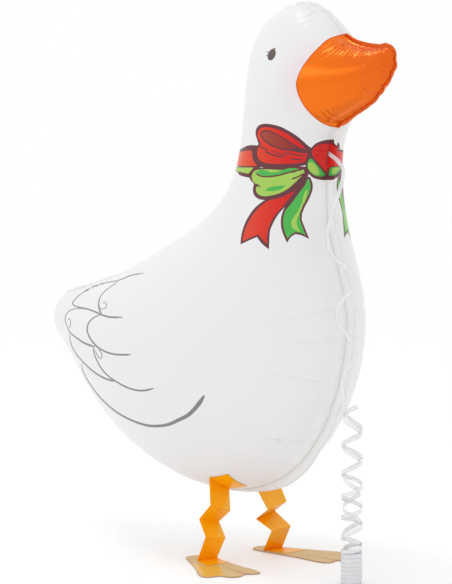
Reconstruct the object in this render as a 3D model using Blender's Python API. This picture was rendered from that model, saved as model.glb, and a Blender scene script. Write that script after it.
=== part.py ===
"""Walking duck foil balloon: two welded foil panels on folded film legs and card feet, with a curling ribbon.

Metres, +Z up. The duck looks along +X, its left side is +Y and it stands on the floor at z = 0.
"""

import math

import bpy
import numpy as np
from mathutils import Vector, geometry
from mathutils.bvhtree import BVHTree

# Driving sizes
STANDING_HEIGHT = 0.760
CONTACT_GAP = 0.0003

# The balloon's weld line is a free form, in shares of the standing height as (forward, up)
BEAK = [
    (0.353, 0.933), (0.379, 0.921), (0.431, 0.911), (0.455, 0.911), (0.467, 0.901), (0.4685, 0.884),
    (0.453, 0.858), (0.419, 0.827), (0.366, 0.801), (0.333, 0.786),
]
BREAST = [
    (0.317, 0.761), (0.310, 0.731), (0.3075, 0.658), (0.311, 0.608), (0.341, 0.525),
    (0.358, 0.454), (0.353, 0.393), (0.329, 0.309), (0.278, 0.226), (0.2105, 0.167),
]
BELLY = [
    (0.095, 0.127), (-0.0105, 0.129), (-0.116, 0.158), (-0.2145, 0.204), (-0.297, 0.268), (-0.376, 0.3355),
]
TAIL = [(-0.449, 0.380), (-0.467, 0.421), (-0.442, 0.454)]
BACK = [
    (-0.353, 0.478), (-0.245, 0.507), (-0.1395, 0.545), (-0.043, 0.586), (0.046, 0.629),
    (0.110, 0.685), (0.126, 0.759), (0.131, 0.828), (0.136, 0.888), (0.150, 0.945),
]
CROWN = [(0.188, 0.979), (0.2395, 0.9945), (0.2855, 0.989), (0.321, 0.966)]

# How full the panels are: 2 would blow a long tube up to a round one
PANEL_FULLNESS = 1.38
WELD_STEP = 0.009
EDGE_RINGS = (0.0045, 0.0115)
PANEL_PITCH = 0.0155

# Welded edge strip, wide down the breast, where it stands out like a keel
STRIP_THICKNESS = 0.0008
STRIP_CROWN = 0.0040
STRIP_BEAK = 0.0060
STRIP_BREAST = 0.0150
STRIP_REST = 0.0070

# Feet: each is drawn forward from its heel, which stands at (x, y), and turned by its heading in degrees
FOOT_THICKNESS = 0.0012
FOOT_LENGTH = 0.164
FOOT_HEEL_RADIUS = 0.019
FOOT_SPREAD = 0.041
FOOT_HEELS = {"right": (0.0185, -0.0455), "left": (0.0235, 0.0625)}
FOOT_HEADINGS = {"right": -21.0, "left": 13.0}

# Legs: tops and bottoms as (x, middle y), and folds from the top down as (x, middle y, inner z, outer z)
LEG_WIDTH = 0.036
LEG_THICKNESS = 0.0008
LEG_FLAP = 0.038
LEG_TOPS = {"right": (0.0640, -0.0400), "left": (0.0680, 0.0400)}
LEG_FOLDS = {
    "right": [
        (0.0715, -0.0446, 0.0680, 0.0796),
        (0.0500, -0.0466, 0.0509, 0.0580),
        (0.0662, -0.0487, 0.0308, 0.0357),
    ],
    "left": [
        (0.0825, 0.0508, 0.0645, 0.0724),
        (0.0530, 0.0555, 0.0474, 0.0553),
        (0.0810, 0.0599, 0.0340, 0.0368),
    ],
}
LEG_BOTTOMS = {"right": (0.0525, -0.0520), "left": (0.0530, 0.0695)}
GLUE_GAP = 0.0006
MITRE_LIMIT = 0.75

# Ribbon: the wavy stretch's own points, then a curly stretch over the turns that stand on the floor
RIBBON_WIDTH = 0.005
RIBBON_ROUTE = [
    (0.2400, -0.0045, 0.5580), (0.2620, -0.0060, 0.5480), (0.2700, -0.0050, 0.5370),
    (0.2664, -0.0080, 0.5094), (0.2604, -0.0120, 0.4916), (0.2597, -0.0160, 0.4745),
    (0.2590, -0.0220, 0.4571), (0.2656, -0.0260, 0.4360), (0.2735, -0.0230, 0.4227),
    (0.2841, -0.0130, 0.4123), (0.2920, -0.0060, 0.3976), (0.2930, -0.0070, 0.3871),
    (0.2892, -0.0150, 0.3754), (0.2865, -0.0260, 0.3650), (0.2850, -0.0310, 0.3507),
    (0.2880, -0.0300, 0.3377), (0.2923, -0.0150, 0.3198), (0.2964, -0.0060, 0.2945),
    (0.2915, -0.0130, 0.2810), (0.2870, -0.0260, 0.2709), (0.2895, -0.0240, 0.2591),
    (0.2980, -0.0080, 0.2461), (0.2985, -0.0130, 0.2360), (0.2985, -0.0150, 0.2260),
]
CURL_CENTRE = (0.2985, -0.0150)
CURL_RADIUS = 0.0155
CURL_TOP = 0.2252
COIL_HEIGHT = 0.040
COIL_WALL = 0.006

WHITE_FOIL = (0.86, 0.86, 0.87, 1.0)
ORANGE_FILM = (0.85, 0.27, 0.01, 1.0)
TAN_CARD = (0.66, 0.47, 0.21, 1.0)
CLEAR_WHITE = (0.83, 0.83, 0.85, 1.0)


def material(name, colour, roughness, metallic=0.0):
    """One plain surface."""
    made = bpy.data.materials.new(name)
    made.use_nodes = True
    shader = made.node_tree.nodes["Principled BSDF"]
    shader.inputs["Base Color"].default_value = colour
    shader.inputs["Roughness"].default_value = roughness
    shader.inputs["Metallic"].default_value = metallic
    return made


def mesh_object(name, points, faces, surface, smooth=False):
    """A mesh object from points and faces."""
    mesh = bpy.data.meshes.new(name)
    mesh.from_pydata([tuple(point) for point in points], [], [tuple(face) for face in faces])
    mesh.materials.append(surface)
    if smooth:
        mesh.shade_smooth()
    made = bpy.data.objects.new(name, mesh)
    bpy.context.collection.objects.link(made)
    return made


def smooth_run(points, per_span=24):
    """Dense points of a centripetal Catmull-Rom curve through an open run of points."""
    run = [np.array(point, float) for point in points]
    run = [2 * run[0] - run[1]] + run + [2 * run[-1] - run[-2]]
    dense = []
    for p0, p1, p2, p3 in zip(run, run[1:], run[2:], run[3:]):
        t1 = math.sqrt(np.linalg.norm(p1 - p0))
        t2 = t1 + math.sqrt(np.linalg.norm(p2 - p1))
        t3 = t2 + math.sqrt(np.linalg.norm(p3 - p2))
        for t in np.linspace(t1, t2, per_span, endpoint=False):
            a1 = (p0 * (t1 - t) + p1 * t) / t1
            a2 = (p1 * (t2 - t) + p2 * (t - t1)) / (t2 - t1)
            a3 = (p2 * (t3 - t) + p3 * (t - t2)) / (t3 - t2)
            b1 = (a1 * (t2 - t) + a2 * t) / t2
            b2 = (a2 * (t3 - t) + a3 * (t - t1)) / (t3 - t1)
            dense.append((b1 * (t2 - t) + b2 * (t - t1)) / (t2 - t1))
    dense.append(run[-2])
    return np.array(dense)


def even_run(dense, step):
    """The same run with evenly spaced points, about a step apart, both ends kept."""
    travelled = np.concatenate([[0.0], np.cumsum(np.linalg.norm(np.diff(dense[:, :2], axis=0), axis=1))])
    places = np.linspace(0.0, travelled[-1], max(2, round(travelled[-1] / step)) + 1)
    return np.stack([np.interp(places, travelled, dense[:, k]) for k in range(dense.shape[1])], axis=1)


def weld_loop():
    """The weld line as rows of (x, z, strip width), with corners only where the beak meets the head."""
    def stretch(shares, strip):
        return [(STANDING_HEIGHT * forward, STANDING_HEIGHT * up, strip) for forward, up in shares]

    beak = stretch(BEAK, STRIP_BEAK)
    rest = [beak[-1]] + stretch(BREAST, STRIP_BREAST) + stretch(BELLY + TAIL + BACK, STRIP_REST)
    rest += stretch(CROWN, STRIP_CROWN) + [beak[0]]
    runs = [even_run(smooth_run(run), WELD_STEP) for run in (beak, rest)]
    return np.concatenate([run[:-1] for run in runs])


def outward_normals(loop):
    """Unit normals of a loop that runs clockwise in the (x, z) plane, pointing out of it."""
    along = np.roll(loop, -1, axis=0) - np.roll(loop, 1, axis=0)
    normals = np.stack([-along[:, 1], along[:, 0]], axis=1)
    return normals / np.linalg.norm(normals, axis=1)[:, None]


def distance_to_loop(points, loop):
    """How far each point lies from a closed loop."""
    ends = np.roll(loop, -1, axis=0)
    spans = ends - loop
    offsets = points[:, None, :] - loop[None]
    along = np.clip((offsets * spans).sum(-1) / (spans ** 2).sum(-1), 0.0, 1.0)
    return np.linalg.norm(offsets - along[..., None] * spans, axis=-1).min(axis=1)


def inside_loop(points, loop):
    """Which points lie inside a closed loop, by counting crossings."""
    ends = np.roll(loop, -1, axis=0)
    x, z = points[:, 0][:, None], points[:, 1][:, None]
    straddles = (loop[:, 1] > z) != (ends[:, 1] > z)
    rise = np.where(ends[:, 1] == loop[:, 1], 1.0, ends[:, 1] - loop[:, 1])
    crossing = loop[:, 0] + (z - loop[:, 1]) / rise * (ends[:, 0] - loop[:, 0])
    return (straddles & (x < crossing)).sum(axis=1) % 2 == 1


def panel_mesh(loop):
    """A triangulated flat panel: the loop's points first, then rings near the edge and a lattice inside."""
    normals = outward_normals(loop)
    inner = []
    for number, depth in enumerate(EDGE_RINGS):
        ring = (loop - normals * depth)[:: number + 1]
        clear = distance_to_loop(ring, loop) > 0.93 * depth
        inner.append(ring[clear & inside_loop(ring, loop)])
    low, high = loop.min(axis=0), loop.max(axis=0)
    rows = np.arange(low[1], high[1], PANEL_PITCH * math.sqrt(3) / 2)
    columns = np.arange(low[0], high[0], PANEL_PITCH)
    lattice = [(x + PANEL_PITCH / 2 * (row % 2), z) for row, z in enumerate(rows) for x in columns]
    lattice = np.array(lattice)
    lattice = lattice[inside_loop(lattice, loop)]
    lattice = lattice[distance_to_loop(lattice, loop) > EDGE_RINGS[-1] + 0.6 * PANEL_PITCH]
    points = np.concatenate([loop] + inner + [lattice])
    edges = [(k, (k + 1) % len(loop)) for k in range(len(loop))]
    flat = [Vector(point) for point in points]
    made = geometry.delaunay_2d_cdt(flat, edges, [], 1, 1e-6)
    return np.array([tuple(point) for point in made[0]]), [tuple(face) for face in made[2]]


def membrane_height(points, faces, rim_count):
    """The height of a blown-up panel: the root of a soap-film hill that stands on the weld line."""
    count = len(points)
    stiffness = np.zeros((count, count))
    load = np.zeros(count)
    for face in faces:
        corners = points[list(face)]
        sides = np.roll(corners, -1, axis=0) - np.roll(corners, 1, axis=0)
        area = 0.5 * abs(sides[0][0] * sides[1][1] - sides[0][1] * sides[1][0])
        for a in range(3):
            load[face[a]] += PANEL_FULLNESS * area / 3
            for b in range(3):
                stiffness[face[a], face[b]] += sides[a] @ sides[b] / (4 * area)
    free = slice(rim_count, count)
    hill = np.zeros(count)
    hill[free] = np.linalg.solve(stiffness[free, free], load[free])
    return np.sqrt(np.maximum(hill, 0.0))


def make_balloon(foil):
    """Two mirrored panels, blown up, with the flat welded strip around them, as one closed skin."""
    weld = weld_loop()
    loop = weld[:, :2]
    points, faces = panel_mesh(loop)
    rim = len(loop)
    half = membrane_height(points, faces, rim) + STRIP_THICKNESS / 2
    outer = loop + outward_normals(loop) * weld[:, 2:]
    sheet = np.concatenate([points, outer])
    depth = np.concatenate([half, np.full(rim, STRIP_THICKNESS / 2)])
    right = [(x, -y, z) for (x, z), y in zip(sheet, depth)]
    left = [(x, y, z) for (x, z), y in zip(sheet, depth)]
    panel = len(points)
    strip = [(k, (k + 1) % rim, panel + (k + 1) % rim, panel + k) for k in range(rim)]
    skin = list(faces)
    for a, b, c, d in strip:
        skin += [(a, d, c), (a, c, b)]
    across = len(sheet)
    shell = [face if outward(sheet, face) else face[::-1] for face in skin]
    shell += [tuple(across + corner for corner in reversed(face)) for face in shell]
    for _, _, c, d in strip:
        shell += [(d, across + c, across + d), (d, c, across + c)]
    return mesh_object("balloon", right + left, shell, foil, smooth=True)


def outward(sheet, face):
    """Whether a face drawn in (x, z) turns so that it looks along -Y."""
    a, b, c = (sheet[corner] for corner in face)
    return (b[0] - a[0]) * (c[1] - a[1]) - (b[1] - a[1]) * (c[0] - a[0]) > 0


def foot_outline():
    """The foot's edge, drawn forward along +X from a heel at the origin: round heel, webbed toes."""
    radius = FOOT_HEEL_RADIUS
    middle = radius
    edge = []
    for angle in np.linspace(110, 250, 11):
        turn = math.radians(angle)
        edge.append((middle + radius * math.cos(turn), radius * math.sin(turn)))
    toes = [
        (0.55 * FOOT_LENGTH, -0.74 * FOOT_SPREAD), (0.80 * FOOT_LENGTH, -0.99 * FOOT_SPREAD),
        (0.905 * FOOT_LENGTH, -0.98 * FOOT_SPREAD), (0.93 * FOOT_LENGTH, -0.80 * FOOT_SPREAD),
        (0.915 * FOOT_LENGTH, -0.46 * FOOT_SPREAD), (0.985 * FOOT_LENGTH, -0.20 * FOOT_SPREAD),
        (FOOT_LENGTH, 0.0),
    ]
    side = smooth_run([edge[-1]] + toes, 5)[1:-1]
    edge += [tuple(point) for point in side]
    edge.append((FOOT_LENGTH, 0.0))
    edge += [(x, -y) for x, y in reversed([tuple(point) for point in side])]
    return edge


def make_foot(side, card):
    """A flat card foot that lies on the floor."""
    heading = math.radians(FOOT_HEADINGS[side])
    heel_x, heel_y = FOOT_HEELS[side]
    edge = []
    for x, y in foot_outline():
        turned_x = x * math.cos(heading) - y * math.sin(heading)
        turned_y = x * math.sin(heading) + y * math.cos(heading)
        edge.append((heel_x + turned_x, heel_y + turned_y))
    count = len(edge)
    points = [(x, y, 0.0) for x, y in edge] + [(x, y, FOOT_THICKNESS) for x, y in edge]
    faces = [tuple(reversed(range(count))), tuple(range(count, 2 * count))]
    faces += [(k, (k + 1) % count, count + (k + 1) % count, count + k) for k in range(count)]
    return mesh_object("foot_" + side, points, faces, card)


def under_belly(tree, x, y, clearance):
    """The height over a spot on the floor that clears the balloon's sloping underside by so much."""
    spot, normal, _, _ = tree.ray_cast(Vector((x, y, 0.0)), Vector((0.0, 0.0, 1.0)))
    return spot.z - clearance / abs(normal.z)


def mitred(profile, thickness):
    """Both faces of a thin folded band, from its middle line in the (x, z) plane."""
    line = np.array(profile)
    spans = np.diff(line, axis=0)
    spans /= np.linalg.norm(spans, axis=1)[:, None]
    normals = np.stack([-spans[:, 1], spans[:, 0]], axis=1)
    before = np.concatenate([normals[:1], normals])
    after = np.concatenate([normals, normals[-1:]])
    mitre = before + after
    mitre /= np.maximum((mitre * before).sum(axis=1), MITRE_LIMIT * np.linalg.norm(mitre, axis=1))[:, None]
    return line + mitre * thickness / 2, line - mitre * thickness / 2


def make_leg(side, tree, film):
    """A film strip: a flap glued under the belly, an accordion of folds and a flap glued on the foot."""
    outward_y = -1 if side == "right" else 1
    top_x, top_y = LEG_TOPS[side]
    bottom_x, bottom_y = LEG_BOTTOMS[side]
    on_foot = FOOT_THICKNESS + CONTACT_GAP + LEG_THICKNESS / 2
    columns = 7
    flap_steps = np.linspace(1.0, 0.0, 7)
    front, back = [], []
    for share in np.linspace(0.0, 1.0, columns):
        aside = outward_y * LEG_WIDTH * (share - 0.5)
        profile, middles = [], []
        for step in flap_steps:
            x = top_x + LEG_FLAP * step
            profile.append((x, under_belly(tree, x, top_y + aside, GLUE_GAP + LEG_THICKNESS / 2)))
            middles.append(top_y)
        for x, middle, inner_z, outer_z in LEG_FOLDS[side]:
            profile.append((x, inner_z + (outer_z - inner_z) * share))
            middles.append(middle)
        profile += [(bottom_x, on_foot), (bottom_x + LEG_FLAP, on_foot)]
        middles += [bottom_y, bottom_y]
        one, other = mitred(profile, LEG_THICKNESS)
        front.append([(x, middle + aside, z) for (x, z), middle in zip(one, middles)])
        back.append([(x, middle + aside, z) for (x, z), middle in zip(other, middles)])
    length = len(front[0])
    points = [point for column in front + back for point in column]

    def at(layer, column, row):
        return (layer * columns + column) * length + row

    faces = []
    for column in range(columns - 1):
        for row in range(length - 1):
            for layer in (0, 1):
                a, b = at(layer, column, row), at(layer, column, row + 1)
                c, d = at(layer, column + 1, row + 1), at(layer, column + 1, row)
                faces += [(a, b, c), (a, c, d)] if layer == 0 else [(a, c, b), (a, d, c)]
    rim = [(0, row) for row in range(length)] + [(column, length - 1) for column in range(1, columns)]
    rim += [(columns - 1, row) for row in range(length - 2, -1, -1)]
    rim += [(column, 0) for column in range(columns - 2, 0, -1)]
    for (column, row), (next_column, next_row) in zip(rim, rim[1:] + rim[:1]):
        a, b = at(0, column, row), at(0, next_column, next_row)
        c, d = at(1, next_column, next_row), at(1, column, row)
        faces += [(a, c, b), (a, d, c)]
    if outward_y < 0:
        faces = [face[::-1] for face in faces]
    return mesh_object("leg_" + side, points, faces, film)


def tube(name, points, radius, surface):
    """A round tube with filled ends through points."""
    curve = bpy.data.curves.new(name, "CURVE")
    curve.dimensions = "3D"
    curve.bevel_depth = radius
    curve.bevel_resolution = 2
    curve.use_fill_caps = True
    spline = curve.splines.new("POLY")
    spline.points.add(len(points) - 1)
    for slot, point in zip(spline.points, points):
        slot.co = (*point, 1.0)
    curve.materials.append(surface)
    made = bpy.data.objects.new(name, curve)
    bpy.context.collection.objects.link(made)
    return made


def make_ribbon(film):
    """The ribbon's wavy stretch, its curly stretch and the turns that stand on the floor."""
    dense = smooth_run(RIBBON_ROUTE)
    travelled = np.concatenate([[0.0], np.cumsum(np.linalg.norm(np.diff(dense, axis=0), axis=1))])
    places = np.linspace(0.0, travelled[-1], 70)
    route = np.stack([np.interp(places, travelled, dense[:, k]) for k in range(3)], axis=1)
    tube("ribbon_drop", route, RIBBON_WIDTH / 2, film)

    x, y = CURL_CENTRE
    foot_of_curl = COIL_HEIGHT + CONTACT_GAP
    tube("ribbon_curl", [(x, y, CURL_TOP), (x, y, foot_of_curl)], CURL_RADIUS, film)

    sides = 24
    inner = CURL_RADIUS - COIL_WALL
    rings = [(CURL_RADIUS, 0.0), (CURL_RADIUS, COIL_HEIGHT), (inner, COIL_HEIGHT), (inner, 0.0)]
    points = []
    for radius, z in rings:
        for k in range(sides):
            turn = 2 * math.pi * k / sides
            points.append((x + radius * math.cos(turn), y + radius * math.sin(turn), z))
    faces = []
    for ring in range(len(rings)):
        above = (ring + 1) % len(rings)
        for k in range(sides):
            ahead = (k + 1) % sides
            faces.append((ring * sides + k, ring * sides + ahead, above * sides + ahead, above * sides + k))
    mesh_object("ribbon_coil", points, faces, film)


def main():
    for old in list(bpy.data.objects):
        bpy.data.objects.remove(old)
    foil = material("white foil", WHITE_FOIL, 0.35)
    film = material("orange film", ORANGE_FILM, 0.40)
    card = material("tan card", TAN_CARD, 0.70)
    clear = material("white ribbon", CLEAR_WHITE, 0.30)

    balloon = make_balloon(foil)
    bpy.context.view_layer.update()
    tree = BVHTree.FromObject(balloon, bpy.context.evaluated_depsgraph_get())
    for side in ("right", "left"):
        make_foot(side, card)
        make_leg(side, tree, film)
    make_ribbon(clear)


main()
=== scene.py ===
"""Looks of the walking duck foil balloon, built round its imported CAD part.

Metres, +Z up, in the CAD part's own frame. Outlines of prints are held in pixels of the 452 by 584 photograph
and are projected through the camera onto the balloon.
"""

import math

import bpy
import numpy as np
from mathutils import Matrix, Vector, geometry
from mathutils.bvhtree import BVHTree

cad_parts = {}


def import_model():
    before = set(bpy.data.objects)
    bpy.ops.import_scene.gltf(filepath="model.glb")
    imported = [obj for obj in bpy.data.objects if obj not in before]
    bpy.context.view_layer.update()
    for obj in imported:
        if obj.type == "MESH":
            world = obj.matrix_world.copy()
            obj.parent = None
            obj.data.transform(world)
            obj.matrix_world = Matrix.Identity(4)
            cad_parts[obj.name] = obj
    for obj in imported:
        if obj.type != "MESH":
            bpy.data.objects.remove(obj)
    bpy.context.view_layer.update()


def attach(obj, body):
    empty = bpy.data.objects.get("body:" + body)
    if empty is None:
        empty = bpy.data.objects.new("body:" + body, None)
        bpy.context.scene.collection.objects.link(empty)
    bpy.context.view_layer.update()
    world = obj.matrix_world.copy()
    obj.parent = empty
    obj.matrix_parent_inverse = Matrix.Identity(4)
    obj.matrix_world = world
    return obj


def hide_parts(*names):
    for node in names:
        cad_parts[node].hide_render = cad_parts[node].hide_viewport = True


# Camera
PICTURE_WIDTH, PICTURE_HEIGHT = 452, 584
FOCAL_PIXELS = 2158.0
CAMERA_AZIMUTH = 49.0
CAMERA_ELEVATION = 3.5
CAMERA_DISTANCE = 3.0
CAMERA_AIM = (0.032, 0.0, 0.367)
SENSOR_MM = 36.0

# The balloon's weld line, as the CAD has it, in shares of the standing height as (forward, up)
STANDING_HEIGHT = 0.760
BEAK = [
    (0.353, 0.933), (0.379, 0.921), (0.431, 0.911), (0.455, 0.911), (0.467, 0.901), (0.4685, 0.884),
    (0.453, 0.858), (0.419, 0.827), (0.366, 0.801), (0.333, 0.786),
]
BREAST = [
    (0.317, 0.761), (0.310, 0.731), (0.3075, 0.658), (0.311, 0.608), (0.341, 0.525),
    (0.358, 0.454), (0.353, 0.393), (0.329, 0.309), (0.278, 0.226), (0.2105, 0.167),
]
BELLY = [
    (0.095, 0.127), (-0.0105, 0.129), (-0.116, 0.158), (-0.2145, 0.204), (-0.297, 0.268), (-0.376, 0.3355),
]
TAIL = [(-0.449, 0.380), (-0.467, 0.421), (-0.442, 0.454)]
BACK = [
    (-0.353, 0.478), (-0.245, 0.507), (-0.1395, 0.545), (-0.043, 0.586), (0.046, 0.629),
    (0.110, 0.685), (0.126, 0.759), (0.131, 0.828), (0.136, 0.888), (0.150, 0.945),
]
CROWN = [(0.188, 0.979), (0.2395, 0.9945), (0.2855, 0.989), (0.321, 0.966)]
PANEL_FULLNESS = 1.38
STRIP_HALF_THICKNESS = 0.0003
STRIP_CROWN = 0.0040
STRIP_BEAK = 0.0060
STRIP_BREAST = 0.0150
STRIP_REST = 0.0045

# Spacing of the balloon's mesh: wide in the panel's middle, closer along the weld, fine on the beak and at
# creases
WELD_STEP = 0.0026
PANEL_PITCH = 0.0058
EDGE_PITCH = 0.0030
EDGE_REACH = 0.034
FINE_PITCH = 0.0014
BEAK_FROM = (0.222, 0.545)
CROWN_FROM = (0.130, 0.715)
BACK_FROM, BACK_TO = (-0.275, 0.355), (0.020, 0.500)
BACK_REACH = 0.022
CREASE_STEP = 0.0024
CREASE_ROWS = (0.5, 1.1, 1.9, 2.9, 4.0)
EDGE_RINGS = (0.0012, 0.0030, 0.0056)
WELD_BAND = 0.0013
STRIP_RINGS = (0.5, 1.0)

# Puckers that run inward from the weld, by stretch: (first point, last point, spacing, reach, depth, weld's
# ruffle)
PUCKERS = {
    "beak top": (BEAK[0], BEAK[3], 0.0050, 0.024, 0.0012, 0.0006),
    "beak front": (BEAK[3], BEAK[7], 0.0085, 0.019, 0.0020, 0.0017),
    "beak low": (BEAK[7], BEAK[-1], 0.0060, 0.017, 0.0010, 0.0008),
    "throat": (BEAK[-1], BREAST[1], 0.0050, 0.012, 0.0006, 0.0007),
    "breast": (BREAST[2], BREAST[-1], 0.0240, 0.030, 0.0007, 0.0008),
    "belly": (BELLY[0], BELLY[-1], 0.0180, 0.036, 0.0012, 0.0010),
    "tail": (BELLY[-1], TAIL[-1], 0.0100, 0.036, 0.0012, 0.0010),
    "rump": (TAIL[-1], BACK[1], 0.0130, 0.026, 0.0022, 0.0009),
    "back": (BACK[1], BACK[3], 0.0042, 0.018, 0.0009, 0.0004),
    "shoulder": (BACK[3], BACK[5], 0.0110, 0.030, 0.0008, 0.0007),
    "nape": (BACK[5], BACK[-1], 0.0085, 0.030, 0.0007, 0.0006),
    "crown": (BACK[-1], CROWN[-1], 0.0110, 0.034, 0.0019, 0.0018),
}
PUCKER_SEEDS = {-1: 11, 1: 23}
SHARED_SEED = 3
# Spans of the puckers' random draws, as factors, and their widths in metres
PUCKER_SPACING = (0.55, 1.45)
PUCKER_STRENGTH = (0.35, 1.0)
PUCKER_LENGTH = (0.45, 1.5)
PUCKER_DEPTH = (0.6, 1.3)
PUCKER_TILT = 0.35
PUCKER_BEND = 0.25
PUCKER_WIDTH_SHARE = 0.26
PUCKER_NARROWEST, PUCKER_WIDEST = 0.0011, 0.0044
# A crease's reach in widths, and the height and place of the low shoulder beside it
CREASE_REACH = 4
SHOULDER_HEIGHT, SHOULDER_PLACE = 0.45, 2.1
FULL_STRENGTH = 0.9
RELIEF_EASE = 0.0028
RUFFLE_INSIDE, RUFFLE_OUTSIDE = 0.006, 0.012
NOTCH_PULL, NOTCH_WIDTH = 0.8, 1.3

# Legs and feet, as the CAD has them
FOOT_THICKNESS = 0.0012
FOOT_LENGTH = 0.164
FOOT_HEEL_RADIUS = 0.019
FOOT_SPREAD = 0.041
FOOT_HEELS = {"right": (0.0185, -0.0455), "left": (0.0235, 0.0625)}
FOOT_HEADINGS = {"right": -21.0, "left": 13.0}
LEG_WIDTH = 0.036
LEG_THICKNESS = 0.0003
LEG_FLAP = 0.038
LEG_TOPS = {"right": (0.0640, -0.0400), "left": (0.0680, 0.0400)}
LEG_FOLDS = {
    "right": [
        (0.0715, -0.0446, 0.0680, 0.0796),
        (0.0500, -0.0466, 0.0509, 0.0580),
        (0.0662, -0.0487, 0.0308, 0.0357),
    ],
    "left": [
        (0.0825, 0.0508, 0.0645, 0.0724),
        (0.0530, 0.0555, 0.0474, 0.0553),
        (0.0810, 0.0599, 0.0340, 0.0368),
    ],
}
LEG_BOTTOMS = {"right": (0.0525, -0.0520), "left": (0.0530, 0.0695)}
GLUE_GAP = 0.0005
FILM_ON_FOOT_GAP = 0.0002
LEAST_SLOPE = 0.3
LAST_CREASE = 4
FILM_COLUMNS = 5

# The feet's printed rim, webs and the film glued on the right foot, from the heel forward
FOOT_RIM = 0.0011
FOOT_WEB = [(0.090, 0.0080), (0.110, 0.0090), (0.1325, 0.0100), (0.1500, 0.0120), (0.1515, 0.0180),
            (0.1535, 0.0270), (0.1335, 0.0190), (0.110, 0.0125)]
FOOT_FILM = [(0.058, -0.0265), (0.060, -0.0140), (0.080, -0.0150), (0.084, 0.0070), (0.126, -0.0055),
             (0.148, -0.0105), (0.1545, -0.0170), (0.1545, -0.0330), (0.1500, -0.0385), (0.1300, -0.0385),
             (0.1000, -0.0320)]
FOOT_SURFACES = ("edge", "card", "web", "film")
FOOT_GRID = 0.006
FOOT_GRID_FROM, FOOT_GRID_ASIDE = 0.002, 0.045
FOOT_GRID_CLEAR = 0.003

# Where the film looks double: down each leg, the doubled share of the width from its right-hand edge.
# The leg runs from -1 at the top flap's end, through 0 at the top crease and 4 at the foot, to 5 at the foot
# flap's end
DOUBLED = {
    "right": [(-1, 0.28), (0, 1.0), (0, 1.0), (1, 0.62), (1, 0.60), (2, 0.97), (2, 1.0), (3, 0.55),
              (3, 0.88), (4, 1.0), (4, 1.0), (5, 0.63)],
    "left": [(-1, 0.3), (0, 0.3), (0, 0.3), (0.35, 0.0), (1, 0.0), (2, 0.0), (2, 1.0), (2.55, 0.0),
             (3, 0.0), (3.45, 0.0), (3.9, 1.0), (4, 1.0), (4, 1.0), (4.4, 0.8), (4.4, 0.0), (5, 0.0)],
}

# Ribbon: the CAD's route, then the heights of every half turn down to the floor and back up inside it
RIBBON_WIDTH = 0.0058
RIBBON_THICKNESS = 0.0002
RIBBON_ROUTE = [
    (0.2385, -0.0014, 0.5586), (0.2500, -0.0026, 0.5536), (0.2620, -0.0060, 0.5480),
    (0.2700, -0.0050, 0.5370), (0.2664, -0.0080, 0.5094), (0.2604, -0.0120, 0.4916),
    (0.2597, -0.0160, 0.4745), (0.2590, -0.0220, 0.4571), (0.2656, -0.0260, 0.4360),
    (0.2735, -0.0230, 0.4227), (0.2841, -0.0130, 0.4123), (0.2920, -0.0060, 0.3976),
    (0.2930, -0.0070, 0.3871), (0.2892, -0.0150, 0.3754), (0.2865, -0.0260, 0.3650),
    (0.2850, -0.0310, 0.3507), (0.2880, -0.0300, 0.3377), (0.2923, -0.0150, 0.3198),
    (0.2964, -0.0060, 0.2945), (0.2915, -0.0130, 0.2810), (0.2870, -0.0260, 0.2709),
    (0.2895, -0.0240, 0.2591),
]
CURL_CENTRE = (0.2985, -0.0150)
CURL_RADIUS = 0.0138
CURL_HEIGHTS = [
    0.2468, 0.2253, 0.1986, 0.1816, 0.1623, 0.1428, 0.1287, 0.1124, 0.0983, 0.0858, 0.0772, 0.0601, 0.0479,
    0.0408,
]
COIL_TURNS = 7.0
COIL_BOTTOM = 0.0029
INNER_RADIUS = 0.0112
INNER_HEIGHTS = [0.0438, 0.0520, 0.0626, 0.0810, 0.0983, 0.1186, 0.1397, 0.1590, 0.1793, 0.1962, 0.2168]
RIBBON_END_HEIGHT = 0.2317
JOIN_SPREAD = 6
HALF_TURN_POINTS = 12
CURL_START = 0.80
HEIGHT_SPREAD = 5
RIBBON_END_SHARE = 0.72
ROUTE_STEP = 0.003
ROUTE_SPREAD = 14
ROUTE_SWAY = 0.008
FLAT_ON_STRIP = 12
FACE_FRONT, FACE_SWING = 1.2, 0.8

# The bow's shapes, where a point written twice is a corner
BAND_EDGE = [
    (228, 152.2), (228, 152.2), (238.2, 150.2), (243.4, 147.5), (247.9, 145.5), (252.3, 145.1),
    (259.5, 145.7), (259.5, 145.7), (260.4, 168), (260.4, 168), (228, 166.9), (228, 166.9),
]
BAND_RED = [
    (228, 154.0), (228, 154.0), (238.5, 152.7), (243.4, 151.2), (247.9, 150.6), (251.9, 150.6),
    (251.9, 150.6), (252.5, 154.6), (253.4, 159.1), (256.8, 164.6), (256.8, 164.6), (255.9, 166.1),
    (255.9, 166.1), (228, 165.7), (228, 165.7),
]
END_EDGE = [
    (228, 170.0), (228, 170.0), (228, 166.2), (228, 166.2), (255.9, 166.4), (255.9, 166.4),
    (255.9, 169.4), (252.5, 171.6), (251, 177.9), (251, 177.9), (246.1, 177.1), (239.8, 175.2),
    (236.5, 171.5),
]
END_GREEN = [
    (228, 168.6), (228, 168.6), (228, 167.3), (228, 167.3), (253.4, 167.6), (253.4, 167.6), (251, 170.7),
    (248.3, 173.6), (248.3, 173.6), (243.4, 172.7),
]
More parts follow.
